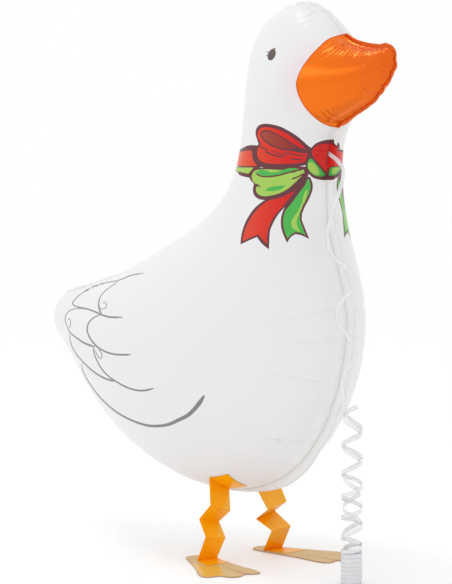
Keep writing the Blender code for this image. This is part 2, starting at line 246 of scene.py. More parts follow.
RED_TAIL_EDGE = [
    (305.9, 178.8), (305.9, 178.8), (296.1, 186.3), (287.1, 190.4), (276.4, 196.2), (265.7, 199.6),
    (259.5, 203.8), (253.7, 209.1), (247.6, 218), (243.2, 227.9), (241.1, 236.8), (240.4, 244.6),
    (240.4, 244.6), (247.9, 240.9), (257, 237.1), (257, 237.1), (262.1, 243.9), (269, 249.5),
    (269, 249.5), (269.4, 239.5), (270, 231.4), (273.3, 222.9), (278.7, 214), (285.8, 206),
    (294.7, 195.3), (301.9, 185.9), (306.8, 179.2), (306.8, 179.2),
]
RED_TAIL = [
    (294.3, 190.8), (294.3, 190.8), (287.1, 194.8), (276.4, 198.6), (268.4, 200.7), (261.7, 205.1),
    (255.9, 210.9), (250.1, 219.1), (245.7, 228), (243.4, 235.4), (242.8, 241.4), (242.8, 241.4),
    (248.8, 238.2), (258.4, 234.6), (258.4, 234.6), (262.1, 239), (266.8, 243.9), (266.8, 243.9),
    (267, 237.7), (267.9, 231), (270.6, 222.9), (276, 214), (283.1, 206), (291.6, 195.3),
    (295.6, 190.4), (295.6, 190.4),
]
GREEN_TAIL_EDGE = [
    (307.2, 176.2), (307.2, 176.2), (301.4, 184.1), (295.6, 191.7), (287.1, 203.3), (283.4, 210),
    (281.2, 217.1), (281, 225.2), (282.7, 232.8), (287, 242.8), (287, 242.8), (291.2, 236.8),
    (295.6, 234.1), (295.6, 234.1), (301.9, 235.4), (309.3, 238.9), (309.3, 238.9), (305.9, 230.5),
    (303.2, 223.4), (302, 217.1), (303.4, 210), (308.8, 199.3), (312.2, 190.8), (312.7, 184.1),
    (310.4, 177.4), (310.4, 177.4),
]
GREEN_TAIL = [
    (307.9, 178.6), (307.9, 178.6), (304.6, 185.9), (298.8, 193.5), (291.8, 202.9), (285.5, 210.9),
    (283.4, 217.6), (283.3, 225.2), (284.8, 231.9), (287.6, 238.4), (287.6, 238.4), (291.2, 234.6),
    (295.4, 232), (295.4, 232), (301, 232.9), (306.1, 235.4), (306.1, 235.4), (303.2, 228.8),
    (301, 222.1), (300, 217.1), (301.3, 209.1), (306.1, 199.7), (309.7, 191.7), (310.5, 185.9),
    (309.5, 180.1), (309.5, 180.1),
]
GREEN_TAIL_LIGHT = [
    (307.5, 189.5), (307.5, 189.5), (305.4, 191.1), (303.7, 195.7), (301.4, 204.2), (297, 212.7),
    (292.5, 218.9), (291.1, 223.4), (292.5, 227.9), (296.1, 230.5), (300.7, 232), (300.7, 232),
    (297.9, 227.4), (296.7, 223.4), (298, 217.1), (301.4, 209.1), (305, 201.1), (307.1, 194.8),
]
GREEN_LOOP_EDGE = [
    (309, 167.1), (309, 167.1), (301.4, 166.4), (283.6, 167.6), (265.7, 167.9), (254.6, 168.2),
    (250.4, 172.2), (249.6, 178.3), (253.9, 183.9), (253.9, 183.9), (252.9, 189), (253.9, 194.8),
    (257.9, 198.6), (263.9, 200), (272.9, 199.3), (281.8, 197.1), (290.7, 192.6), (298.3, 186.3),
    (304.6, 180.1), (308.6, 175.2), (308.6, 175.2),
]
GREEN_LOOP = [
    (253.9, 171.6), (256.8, 170), (265.7, 169.3), (283.6, 170), (297.9, 169.1), (303.4, 169.6),
    (303.4, 169.6), (304.6, 172.5), (298.8, 178.8), (292.9, 184.6), (287.1, 189.3), (280, 193),
    (272, 195.3), (263.9, 196.2), (258.8, 194.6), (256.1, 191.1), (256.4, 187), (258.4, 185.9),
    (258.4, 185.9), (255.9, 184.3), (252.5, 180.5), (251.8, 175.6),
]
LOOP_INSIDE = [
    (256.1, 172), (256.1, 172), (260.4, 169.6), (265.7, 170.3), (272, 172.5), (278.2, 171.6),
    (285.4, 169.1), (291.6, 168), (298, 168.5), (298, 168.5), (295.6, 170.9), (288, 172.9),
    (280, 175.4), (271.1, 176.2), (263, 175.9), (258.4, 173.9),
]
LOOP_PATCH = [
    (264.4, 190.4), (264.4, 190.4), (269.3, 187.5), (278.2, 185.9), (286.4, 185.3), (286.4, 185.3),
    (280, 189.5), (272.9, 191.2),
]
RED_LOOPS_EDGE = [
    (311.4, 147.9), (311.4, 147.9), (306.8, 144.4), (301.4, 139.5), (294.3, 134.1), (287.1, 129.9),
    (280, 126.5), (272.9, 124.6), (265.7, 123.7), (261.2, 124.3), (258, 126.2), (256, 129.5),
    (255.6, 134.1), (257.1, 139.5), (258.6, 144.1), (258.6, 144.1), (253.8, 149.7), (252.1, 153.8),
    (252.9, 159.1), (255.7, 163.8), (259.9, 166.7), (265.7, 168.2), (274.6, 168.7), (283.6, 167.8),
    (292.5, 167.1), (301.4, 166.1), (307.7, 164.6), (307.7, 164.6),
]
RED_LOOPS = [
    (306.6, 149.8), (306.6, 149.8), (301.4, 144.2), (294.3, 138.6), (287.1, 133.8), (280, 130.4),
    (272.9, 128.1), (265.7, 127.1), (261.4, 127.8), (258.8, 130), (257.5, 134.1), (258.4, 139),
    (260.9, 143.2), (260.9, 143.2), (259.5, 145.9), (257.9, 148.6), (257.1, 152.9), (257.9, 157.3),
    (260.8, 160.9), (265.7, 163), (274.6, 164), (283.6, 164.1), (292.5, 163.6), (301.4, 162.5),
    (305.4, 161.4), (305.4, 161.4), (307, 157.3), (307.9, 152.9), (307.9, 152.9),
]
LOOP_HOLLOW_EDGE = [
    (260.2, 133.9), (261.4, 131.2), (264.8, 130.2), (269.3, 130.5), (276.4, 133.7), (285.4, 138.6),
    (292.5, 143.2), (298.8, 147.1), (307.9, 150), (307.9, 150), (307.5, 153.2), (307.5, 153.2),
    (299.6, 152.7), (292.5, 151.2), (283.6, 150.2), (276.4, 148.4), (268.4, 144.4), (262.6, 139.5),
]
LOOP_HOLLOW = [
    (261.4, 134.1), (263.2, 132.1), (267.5, 131.6), (274.6, 134.3), (283.6, 139.1), (291.6, 144.4),
    (296.1, 147.9), (296.1, 147.9), (291.6, 148.9), (283.6, 148.6), (276.4, 146.8), (269.3, 143),
    (263.9, 138.6),
]
KNOT_EDGE = [
    (310.8, 148.6), (310.8, 148.6), (315.7, 143.5), (322.9, 140.8), (329.1, 139.8), (334, 139.3),
    (334, 139.3), (335.5, 143.9), (340.7, 147.5), (348.8, 149.3), (348.8, 149.3), (348.8, 172.5),
    (348.8, 172.5), (340.3, 171.6), (335.8, 178.9), (327.3, 180.1), (319.3, 179.6), (313, 177.6),
    (307.9, 172.5), (305.7, 166.7), (308.6, 158.2),
]
KNOT_RED = [
    (313, 149.5), (317.1, 145.9), (322.9, 144), (331.8, 143.4), (331.8, 143.4), (333.6, 145.3),
    (340.7, 149.3), (348.8, 150.6), (348.8, 150.6), (348.8, 165.4), (348.8, 165.4), (337.1, 167),
    (332.2, 166.1), (329.3, 168), (327.1, 173.9), (327.1, 173.9), (323.8, 169.6), (319.3, 163.8),
    (314.5, 158.4), (312.2, 153.8),
]
KNOT_GREEN = [
    (309.1, 160), (310.9, 158.5), (314.4, 161.6), (319.3, 167.3), (325.7, 174.5), (325.7, 174.5),
    (322.9, 176.2), (317.5, 176.2), (312.1, 173.9), (308.6, 169.8), (307.5, 165.2),
]
KNOT_LIGHT = [
    (308.2, 163.9), (310.5, 162.2), (314.1, 163.8), (318, 168.9), (319.3, 173.2), (317.1, 175.2),
    (313, 173.4), (309.5, 169.8),
]
KNOT_GREEN_FRONT = [
    (328.9, 175.6), (328.9, 175.6), (329.8, 169.4), (332.2, 167.1), (337.1, 168), (348.8, 167.1),
    (348.8, 167.1), (339.8, 171.6), (335.4, 175),
]
KNOT_LIGHT_FRONT = [
    (332, 172.5), (333.4, 168), (337.6, 168.8), (340.7, 168.5), (337.1, 172.5), (333.6, 174.3),
]
BOW = [
    ("maroon", BAND_EDGE),
    ("red", BAND_RED),
    ("maroon", END_EDGE),
    ("light", END_GREEN),
    ("maroon", RED_TAIL_EDGE),
    ("red", RED_TAIL),
    ("maroon", GREEN_TAIL_EDGE),
    ("green", GREEN_TAIL),
    ("light", GREEN_TAIL_LIGHT),
    ("maroon", GREEN_LOOP_EDGE),
    ("light", GREEN_LOOP),
    ("green", LOOP_INSIDE),
    ("green", LOOP_PATCH),
    ("maroon", RED_LOOPS_EDGE),
    ("red", RED_LOOPS),
    ("maroon", LOOP_HOLLOW_EDGE),
    ("hollow", LOOP_HOLLOW),
    ("maroon", KNOT_EDGE),
    ("red", KNOT_RED),
    ("green", KNOT_GREEN),
    ("light", KNOT_LIGHT),
    ("green", KNOT_GREEN_FRONT),
    ("light", KNOT_LIGHT_FRONT),
]

# The part of the knot that shows beyond the weld, on the balloon's left side
FAR_KNOT_EDGE = [
    (326.5, 148.0), (326.5, 148.0), (331.5, 148.0), (335.5, 148.5), (339.0, 149.4), (342.2, 149.6),
    (342.2, 149.6), (344, 150.5), (350, 151), (350, 151), (350, 168), (350, 168), (343.8, 167.3),
    (341.5, 172.5), (336.5, 177.8), (326.5, 180.0), (326.5, 180.0),
]
FAR_KNOT_RED = [
    (326.5, 150.6), (326.5, 150.6), (331.3, 150.6), (335, 150.8), (339, 151.2), (343.7, 152.6),
    (350, 153.4), (350, 153.4), (350, 163), (350, 163), (342.5, 165.4), (338.5, 166.4), (334.5, 166.4),
    (330.5, 168.2), (328.6, 172.5), (326.5, 174.5), (326.5, 174.5),
]
FAR_KNOT_GREEN = [
    (327.5, 176.4), (327.5, 176.4), (329.4, 169.6), (332.6, 167.0), (341.8, 167.3), (341.8, 167.3),
    (338.5, 172.3), (334, 175.6),
]
FAR_KNOT_LIGHT = [(330.4, 174.2), (330.8, 169.6), (334, 167.7), (339.5, 168.0), (336.8, 171.8),
                  (333.5, 174.2)]
FAR_KNOT_CLEARED = [
    (326, 135), (326, 135), (350, 135), (350, 135), (350, 152.5), (350, 152.5), (326, 152.5), (326, 152.5),
]
FAR_SIDE_FROM = 333.8
FAR_SIDE_ROUND = 0.006
FAR_BOW = [
    ("white", FAR_KNOT_CLEARED),
    ("maroon", FAR_KNOT_EDGE),
    ("red", FAR_KNOT_RED),
    ("green", FAR_KNOT_GREEN),
    ("light", FAR_KNOT_LIGHT),
]

# Strokes over the bow, as (points, width in pixels), each thin at both ends
BOW_STROKES = [
    ([(259, 145.5), (263, 147.9), (268.4, 150.6)], 1.3),
    ([(264.4, 151.2), (272, 154.5), (278.2, 156.2), (283.8, 156.8)], 1.5),
    ([(290, 158.7), (295.2, 159.3), (303.6, 159.9)], 1.2),
    ([(284, 151.9), (294, 154.6), (306, 155.9)], 1.2),
    ([(271, 150.6), (279, 153.6), (288, 155.4)], 0.9),
    ([(255.5, 172.5), (258.1, 175), (263, 176.5), (270.2, 176.5), (279.1, 175.2), (287.1, 172.9),
      (296.1, 170.7), (302.8, 169.6)], 1.5),
    ([(254.1, 183.9), (257.9, 185.2), (260.5, 187.5)], 1.5),
    ([(291.6, 179.3), (297.9, 176.8), (306.1, 172.7)], 1.5),
    ([(288.5, 172.7), (295.2, 171.6), (298.6, 169.3)], 1.0),
]

# Beak: where its colour starts, then a way round the outside of the weld
BEAK_EDGE = [
    (347.4, 33.4), (347.4, 33.4), (335.9, 36.4), (328.3, 39.5), (319, 47.5), (308.4, 59), (300, 72),
    (296.5, 83.5), (298.4, 94.2), (303.8, 105), (312.2, 114.9), (320.6, 121.8), (329.8, 126),
    (337.8, 127.5), (337.8, 127.5),
]
BEAK_OUTSIDE = [(343, 131), (343, 131), (440, 120), (440, 120), (440, 20), (440, 20), (352, 27), (352, 27)]
BEAK_LINE_WIDTH = 1.0

# Eye, as an upright oval that leans, with three lashes
EYE_CENTRE = (271.7, 54.6)
EYE_HALF_WIDTH, EYE_HALF_HEIGHT = 3.7, 6.2
EYE_LEAN = 22.0
EYE_LASHES = [
    ([(272.1, 50.6), (273.8, 48.9), (275.8, 48.1)], 1.1),
    ([(269.6, 52.9), (267.8, 52.1), (266.6, 51.5)], 0.9),
    ([(268.6, 55.4), (267.3, 55.3), (266.1, 54.8)], 0.9),
]

# Wing lines, as (points, widths in pixels at the start, the middle and the end)
WING_LINES = [
    ([(144, 273.4), (136.3, 274.2), (128, 276.4), (121.6, 279.3), (116.5, 280.8), (106.3, 282.7),
      (94.8, 286.2), (83.4, 292.3), (76.4, 297.7), (72.9, 302.5), (73.4, 305.1), (78.3, 307),
      (87.2, 308.9), (94.8, 311.7), (101.2, 314.6), (108.9, 316.9), (115.3, 317.3),
      (122.7, 317.2)], (1.1, 1.0, 1.8)),
    ([(118.4, 281.5), (111.4, 286.2), (105.1, 291), (100.2, 297.1), (98.7, 303.8), (99.4, 309.5),
      (101.5, 314.2)], (0.7, 0.9, 1.6)),
    ([(98.9, 305.7), (101, 308.9), (103.8, 309), (106.1, 307), (106.2, 303.8), (104.4, 302.2),
      (102.5, 303.1)], (0.7, 0.8, 0.8)),
    ([(88.5, 309.5), (79.5, 308.5), (71.2, 309.9), (66.5, 314), (65.1, 319.7), (67, 325.7), (70, 332.1),
      (77, 338.2), (84.6, 343.1), (94.2, 346.9)], (0.9, 0.8, 2.0)),
    ([(68.7, 328), (70.4, 325.7), (70.6, 321.6), (69.1, 318.4), (67.6, 320.1)], (0.7, 0.7, 0.7)),
    ([(101, 314.5), (94.8, 317), (89.1, 322.3), (87.1, 328.6), (88.5, 335), (92.3, 341.4), (97.4, 346.9),
      (105.1, 351.6), (114, 354.2), (122.9, 354.8), (130.8, 354.4)], (1.0, 1.5, 1.6)),
    ([(70.4, 333.4), (69.8, 337.6), (71.9, 345.9), (76.4, 354.2), (83.4, 362.2), (91, 369.5), (99.9, 375.8),
      (108.9, 379.9), (115.5, 381.2)], (0.7, 1.2, 1.8)),
    ([(94.6, 344.8), (93.7, 351), (96.1, 358.6), (101.2, 368.2), (108.9, 376.5), (116.5, 381.8),
      (126.7, 387.3), (135.7, 390.1), (144.6, 390.5), (153.8, 388.3)], (1.0, 1.3, 1.7)),
    ([(94.8, 349.9), (97.1, 354.8), (101, 358.9), (102, 355.4), (99.9, 350.7),
    (98, 349.4)], (0.7, 0.7, 0.8)),
    ([(83.1, 362.2), (81.8, 365.6), (84, 373.3), (91, 385.4), (99.9, 397.1), (111.4, 408.1), (124.2, 416.7),
      (136.9, 422.4), (148.4, 425.6), (158.6, 426), (168.8, 424.3), (179, 419.8), (188.6, 414.7),
      (196.2, 407.1), (201.4, 400.1), (204.3, 395.4)], (0.8, 1.8, 4.2)),
]

# Creases in the skin, as (points, width and depth in metres, strength at the start and at the end)
CREASES = [
    ([(285.5, 18.3), (293.6, 8.9), (302.5, 4.9), (312.5, 4.0)], 0.0022, 0.0013, 0.3, 1.0),
    ([(305.0, 20.0), (314.1, 13.4), (322.1, 10.7), (328.0, 9.8)], 0.0022, 0.0013, 0.2, 1.0),
    ([(296.0, 14.5), (305.0, 9.5), (313.0, 6.8), (320.8, 6.7)], 0.0020, 0.0012, 0.2, 1.0),
    ([(345.7, 309.0), (336.3, 309.7), (320.0, 312.0), (303.5, 315.5), (288, 320), (276, 322)],
     0.0014, 0.0011, 1.0, 0.45),
    ([(281, 340.6), (296, 341.0), (314, 343.2), (326, 342.6)], 0.0013, 0.0006, 0.5, 0.6),
    ([(347.0, 337.6), (328, 340.3), (305, 342.6), (288, 342.2), (270.1, 340)], 0.0014, 0.0011, 1.0, 0.5),
    ([(340.0, 382.2), (321.0, 381.8), (304.5, 380), (288, 377.6), (273.8, 373.6), (260.8, 368.8)],
     0.0014, 0.0011, 1.0, 0.5),
    ([(340, 373), (326, 373.6), (310, 372.4), (298, 369.6)], 0.0012, 0.0007, 0.3, 0.4),
    ([(314.0, 440.7), (295.0, 441.5), (275.4, 440.0)], 0.0013, 0.0009, 1.0, 0.95),
    ([(275.4, 440.0), (262.0, 436.5), (250.0, 430.6), (237, 423)], 0.0013, 0.0009, 0.95, 0.4),
    ([(246, 457), (260, 461.2), (281.0, 463.4), (298.9, 462.4)], 0.0013, 0.0013, 0.4, 0.9),
    ([(330, 409.5), (318, 411.0), (302, 411.5)], 0.0012, 0.0007, 0.9, 0.3),
    ([(296.0, 95.0), (312.0, 113.0), (330.0, 130.0)], 0.0016, 0.0009, 0.2, 1.0),
    ([(300.0, 118.0), (316.0, 128.0), (331.0, 137.5)], 0.0016, 0.0007, 0.2, 1.0),
    ([(298.4, 84.3), (312.0, 101.0), (324.0, 115.5), (332.4, 125.7)], 0.0012, 0.0007, 0.4, 1.0),
    ([(323.5, 106.5), (330.5, 116.5), (336.9, 125.7)], 0.0011, 0.0008, 0.2, 1.0),
    ([(329.5, 104.5), (334.5, 115.5), (338.3, 124.3)], 0.0011, 0.0008, 0.2, 1.0),
    ([(397.0, 64.0), (390.0, 62.5), (381.0, 66.0), (377.5, 72.0)], 0.0016, 0.0026, 1.0, 0.5),
    ([(393.5, 76.5), (386.0, 77.0), (377.5, 73.5)], 0.0015, 0.0026, 1.0, 0.5),
    ([(383.5, 93.0), (378.0, 94.5), (370.0, 98.0), (361.0, 94.5)], 0.0015, 0.0024, 1.0, 0.4),
    ([(388.0, 84.0), (383.0, 84.5), (378.0, 82.0)], 0.0013, 0.0018, 1.0, 0.4),
    ([(372.0, 101.0), (376.0, 98.0), (380.0, 96.0)], 0.0012, 0.0008, 0.3, 1.0),
]
# Wrinkles that fan out over the beak's top: the run that they start from, the run that they end on
FAN_STARTS = [(342, 37), (349, 40), (358, 45), (372, 49)]
FAN_ENDS = [(309, 60), (322, 63), (340, 70), (360, 68)]
FAN_COUNT = 24
FAN_WIDTH, FAN_DEPTH = 0.0012, 0.0013
FAN_SEED = 5
FAN_JITTER = 0.3
FAN_REACH = (0.55, 1.0)
FAN_SAG = (0.4, 2.2)
FAN_STRENGTH = (0.5, 1.3)

# Steps in pixels along the prints, and how a stroke tapers
OUTLINE_STEP = 1.4
LASH_STEP = 0.6
CREASE_PIXELS, FAN_PIXELS = 2.5, 2.0
EYE_POINTS = 28
WING_BOLDNESS = 1.12
STROKE_TAPER, STROKE_END = 14, 0.35
FAR_SEARCH, FAR_SEARCH_STEP = 14.0, 0.4

# Meshing and solving
SPAN_POINTS = 24
DISTANCE_ROWS, INSIDE_ROWS = 2000, 4000
JOIN_DISTANCE = 1e-7
ON_WELD = 1e-6
EMPTY_AREA = 1e-12
EMPTY_FACE = 1e-9
SOLVER_STEPS = 1500
SOLVER_END = 1e-18

# Colours: the mottle, the fine bump, and the fades as (direction, start, end)
MOTTLE_SCALE, MOTTLE_DETAIL = 22.0, 3.0
MOTTLE_FROM, MOTTLE_TO = 0.3, 0.7
BUMP_DEPTH = 0.0005
FADE_GRAIN = 0.25
RED_FADE = ((1.0, 0.0, 0.0), 0.130, 0.225)
HOLLOW_FADE = ((1.0, 0.0, 0.0), 0.155, 0.235)
# Painted shade: the beak's orange darkens and reddens toward its tip and top
BEAK_PAINTED_SHADE = ((1.0, 0.0, 0.3), 0.46, 0.58)
# Painted light: beside the breast's weld the foil goes lighter toward the weld, lifting the shade of the
# hollow there
BREAST_PAINTED_LIGHT = ((0.0, -1.0, 0.0), 0.0, 0.030)
BREAST_PAINTED_LIGHT_BAND = 0.034
BLUSH_CENTRE = (0.258, 0.045, 0.655)
BLUSH_INSIDE, BLUSH_OUTSIDE = 0.026, 0.060

# Stage
FLOOR_HALF_WIDTH = 14.0
FLOOR_DROP = 0.0005
WORLD_STRENGTH = 1.0
# Lamps as (name, right of the aim, beyond the aim, above the aim, width, height, power)
LAMPS = [
    ("lamp_back_left", -1.8, 0.9, 1.2, 1.0, 1.0, 0.5),
    ("lamp_above", -0.65, 0.15, 2.1, 0.66, 0.4, 5.0),
    ("lamp_side", -1.7, -1.1, 0.75, 0.8, 0.5, 1.3),
]


def camera_axes():
    """The camera's place and its right, up and forward directions."""
    azimuth, elevation = math.radians(CAMERA_AZIMUTH), math.radians(CAMERA_ELEVATION)
    level = math.cos(elevation)
    back = Vector((math.sin(azimuth) * level, -math.cos(azimuth) * level, math.sin(elevation)))
    right = Vector((math.cos(azimuth), math.sin(azimuth), 0.0))
    return Vector(CAMERA_AIM) + back * CAMERA_DISTANCE, right, back.cross(right), -back


def placed(name, data):
    """A new object in the scene that shows the data."""
    made = bpy.data.objects.new(name, data)
    bpy.context.scene.collection.objects.link(made)
    return made


def make_camera():
    """The camera that took the photograph."""
    place, _, _, forward = camera_axes()
    lens = bpy.data.cameras.new("camera")
    lens.sensor_width = SENSOR_MM
    lens.lens = FOCAL_PIXELS * SENSOR_MM / PICTURE_HEIGHT
    lens.clip_start, lens.clip_end = 0.05, 100.0
    camera = placed("camera", lens)
    camera.location = place
    camera.rotation_mode = "QUATERNION"
    camera.rotation_quaternion = forward.to_track_quat("-Z", "Y")
    bpy.context.scene.camera = camera


def pixel_ray(pixel):
    """The direction in which the camera looks through a pixel."""
    _, right, up, forward = camera_axes()
    across = (pixel[0] - PICTURE_WIDTH / 2) / FOCAL_PIXELS
    down = (pixel[1] - PICTURE_HEIGHT / 2) / FOCAL_PIXELS
    return (forward + right * across - up * down).normalized()


def as_tuples(faces):
    """Faces as tuples of whole numbers."""
    return [tuple(map(int, face)) for face in faces]


def unit_rows(rows):
    """Each row scaled to length one."""
    return rows / np.linalg.norm(rows, axis=1)[:, None]


def left_of(along):
    """Each flat direction turned a quarter to the left."""
    return np.stack([-along[:, 1], along[:, 0]], axis=1)


def way_along(points):
    """How far along a run of points each one lies."""
    return np.concatenate([[0.0], np.cumsum(np.linalg.norm(np.diff(points, axis=0), axis=1))])


def mesh_object(name, points, faces, materials, indices=None):
    """A mesh object from points, faces and its materials."""
    mesh = bpy.data.meshes.new(name)
    mesh.from_pydata([tuple(map(float, point)) for point in points], [], as_tuples(faces))
    for surface in materials:
        mesh.materials.append(surface)
    if indices is not None:
        mesh.polygons.foreach_set("material_index", np.asarray(indices, np.int32))
    mesh.shade_smooth()
    return placed(name, mesh)


def smooth_run(points, per_span=SPAN_POINTS):
    """Dense points of a centripetal Catmull-Rom curve through an open run of points."""
    run = [np.array(point, float) for point in points]
    run = [2 * run[0] - run[1]] + run + [2 * run[-1] - run[-2]]
    dense = []
    for p0, p1, p2, p3 in zip(run, run[1:], run[2:], run[3:]):
        t1 = math.sqrt(np.linalg.norm(p1 - p0))
        t2 = t1 + math.sqrt(np.linalg.norm(p2 - p1))
        t3 = t2 + math.sqrt(np.linalg.norm(p3 - p2))
        for t in np.linspace(t1, t2, per_span, endpoint=False):
            a1 = (p0 * (t1 - t) + p1 * t) / t1
            a2 = (p1 * (t2 - t) + p2 * (t - t1)) / (t2 - t1)
            a3 = (p2 * (t3 - t) + p3 * (t - t2)) / (t3 - t2)
            b1 = (a1 * (t2 - t) + a2 * t) / t2
            b2 = (a2 * (t3 - t) + a3 * (t - t1)) / (t3 - t1)
            dense.append((b1 * (t2 - t) + b2 * (t - t1)) / (t2 - t1))
    dense.append(run[-2])
    return np.array(dense)


def even_run(dense, step):
    """The same run with evenly spaced points, about a step apart, both ends kept."""
    travelled = way_along(dense[:, :2])
    places = np.linspace(0.0, travelled[-1], max(2, round(travelled[-1] / step)) + 1)
    return np.stack([np.interp(places, travelled, dense[:, k]) for k in range(dense.shape[1])], axis=1)


def smooth_outline(points, step):
    """A closed outline with even points through the given ones; a point written twice is a corner."""
    rows = [np.array(point, float) for point in points]
    corners = [k for k in range(len(rows) - 1) if np.allclose(rows[k], rows[k + 1])]
    if not corners:
        dense = smooth_run(rows[-2:] + rows + rows[:3])[2 * SPAN_POINTS:-2 * SPAN_POINTS]
        return even_run(dense, step)[:-1]
    turned = rows[corners[0] + 1:] + rows[:corners[0] + 1]
    runs, run = [], [turned[0]]
    for before, point in zip(turned, turned[1:]):
        if np.allclose(before, point):
            runs.append(run)
            run = [point]
        else:
            run.append(point)
    runs.append(run)
    return np.concatenate([even_run(smooth_run(part), step)[:-1] if len(part) > 1 else np.array(part)
                           for part in runs])


def stroke_outline(points, widths, step):
    """The outline of a stroke whose width changes along it, thin at both ends."""
    middle = even_run(smooth_run(points), step)
    aside = left_of(unit_rows(np.gradient(middle, axis=0)))
    share = np.linspace(0.0, 1.0, len(middle))
    width = np.interp(share, np.linspace(0.0, 1.0, len(widths)), widths)
    width = width * np.clip(np.minimum(share, 1 - share) * STROKE_TAPER + STROKE_END, 0.0, 1.0)
    half = aside * width[:, None] / 2
    return np.concatenate([middle + half, (middle - half)[::-1]])


def weld_loop(step):
    """The weld line as rows of (x, z, strip width), with corners only where the beak meets the head."""
    def stretch(shares, strip):
        return [(STANDING_HEIGHT * forward, STANDING_HEIGHT * up, strip) for forward, up in shares]

    beak = stretch(BEAK, STRIP_BEAK)
    rest = [beak[-1]] + stretch(BREAST, STRIP_BREAST) + stretch(BELLY + TAIL + BACK, STRIP_REST)
    rest += stretch(CROWN, STRIP_CROWN) + [beak[0]]
    runs = [even_run(smooth_run(run), step) for run in (beak, rest)]
    return np.concatenate([run[:-1] for run in runs])


def outward_normals(loop):
    """Unit normals of a loop that runs clockwise in the (x, z) plane, pointing out of it."""
    return unit_rows(left_of(np.roll(loop, -1, axis=0) - np.roll(loop, 1, axis=0)))


def distance_to_loop(points, loop, closed=True):
    """How far each point lies from a loop, or from an open run, and the place on it that is nearest."""
    ends = np.roll(loop, -1, axis=0)
    spans = ends - loop
    if not closed:
        loop, spans = loop[:-1], spans[:-1]
    best = np.full(len(points), 1e9)
    place = np.zeros(len(points))
    for start in range(0, len(points), DISTANCE_ROWS):
        part = points[start:start + DISTANCE_ROWS]
        offsets = part[:, None, :] - loop[None]
        along = np.clip((offsets * spans).sum(-1) / (spans ** 2).sum(-1), 0.0, 1.0)
        gap = np.linalg.norm(offsets - along[..., None] * spans, axis=-1)
        nearest = gap.argmin(axis=1)
        rows = np.arange(len(part))
        best[start:start + DISTANCE_ROWS] = gap[rows, nearest]
        place[start:start + DISTANCE_ROWS] = nearest + along[rows, nearest]
    return best, place


def inside_loop(points, loop):
    """Which points lie inside a closed loop, by counting crossings."""
    found = np.zeros(len(points), bool)
    low, high = loop.min(axis=0), loop.max(axis=0)
    near = np.flatnonzero(((points >= low) & (points <= high)).all(axis=1))
    ends = np.roll(loop, -1, axis=0)
    rise = np.where(ends[:, 1] == loop[:, 1], 1.0, ends[:, 1] - loop[:, 1])
    for start in range(0, len(near), INSIDE_ROWS):
        rows = near[start:start + INSIDE_ROWS]
        x, z = points[rows, 0][:, None], points[rows, 1][:, None]
        straddles = (loop[:, 1] > z) != (ends[:, 1] > z)
        crossing = loop[:, 0] + (z - loop[:, 1]) / rise * (ends[:, 0] - loop[:, 0])
        found[rows] = (straddles & (x < crossing)).sum(axis=1) % 2 == 1
    return found


def triangulate(points, edges, border):
    """Triangles over points that keep the edges, inside a border loop."""
    made = geometry.delaunay_2d_cdt([Vector(point) for point in points], edges, [], 1, JOIN_DISTANCE)
    flat = np.array([tuple(point) for point in made[0]])
    faces = np.array([face for face in made[2] if len(face) == 3])
    middles = flat[faces].mean(axis=1)
    faces = faces[inside_loop(middles, border)]
    turn = np.cross(flat[faces[:, 1]] - flat[faces[:, 0]], flat[faces[:, 2]] - flat[faces[:, 0]])
    whole = np.abs(turn) > EMPTY_AREA
    faces, turn = faces[whole], turn[whole]
    faces[turn < 0] = faces[turn < 0][:, ::-1]
    return flat, faces


def ring_edges(first, count):
    """The edges of a closed ring of points."""
    return [(first + k, first + (k + 1) % count) for k in range(count)]


def lattice_points(pitch, low, high, loop):
    """Evenly spread points inside the weld line, within a box."""
    rows = np.arange(low[1], high[1], pitch * math.sqrt(3) / 2)
    columns = np.arange(low[0], high[0], pitch)
    lattice = np.array([(x + pitch / 2 * (row % 2), z) for row, z in enumerate(rows) for x in columns])
    lattice = lattice[inside_loop(lattice, loop)]
    gap, _ = distance_to_loop(lattice, loop)
    keep = gap > EDGE_RINGS[-1] + 0.5 * pitch
    return lattice[keep], gap[keep]


def fine_zone(points):
    """Which points lie on the beak, on the crown or along the back, where the mesh is fine."""
    back = np.array(BACK) * STANDING_HEIGHT
    under_back = np.interp(points[:, 0], back[:, 0], back[:, 1]) - points[:, 1]
    on_back = (points[:, 0] > BACK_FROM[0]) & (points[:, 0] < BACK_TO[0]) & (under_back < BACK_REACH)
    return (points > BEAK_FROM).all(axis=1) | (points > CROWN_FROM).all(axis=1) | on_back


def beside_crease(points, line, width):
    """Which points lie so near a crease that its own rows take their place."""
    reach = (CREASE_ROWS[-1] + 0.6) * width
    low, high = line.min(axis=0) - reach, line.max(axis=0) + reach
    near = np.flatnonzero(((points > low) & (points < high)).all(axis=1))
    found = np.zeros(len(points), bool)
    if len(near):
        gap, _ = distance_to_loop(points[near], line, closed=False)
        found[near[gap < reach]] = True
    return found


def crease_rows(line, width, loop):
    """Rows of points along a crease and beside it, clear of the weld."""
    run = even_run(line, CREASE_STEP)
    aside = left_of(unit_rows(np.gradient(run, axis=0))) * width
    rows = np.concatenate([run] + [run + aside * share * side for share in CREASE_ROWS for side in (-1, 1)])
    rows = rows[inside_loop(rows, loop)]
    gap, _ = distance_to_loop(rows, loop)
    return rows[gap > EDGE_RINGS[-1] + 0.4 * width]


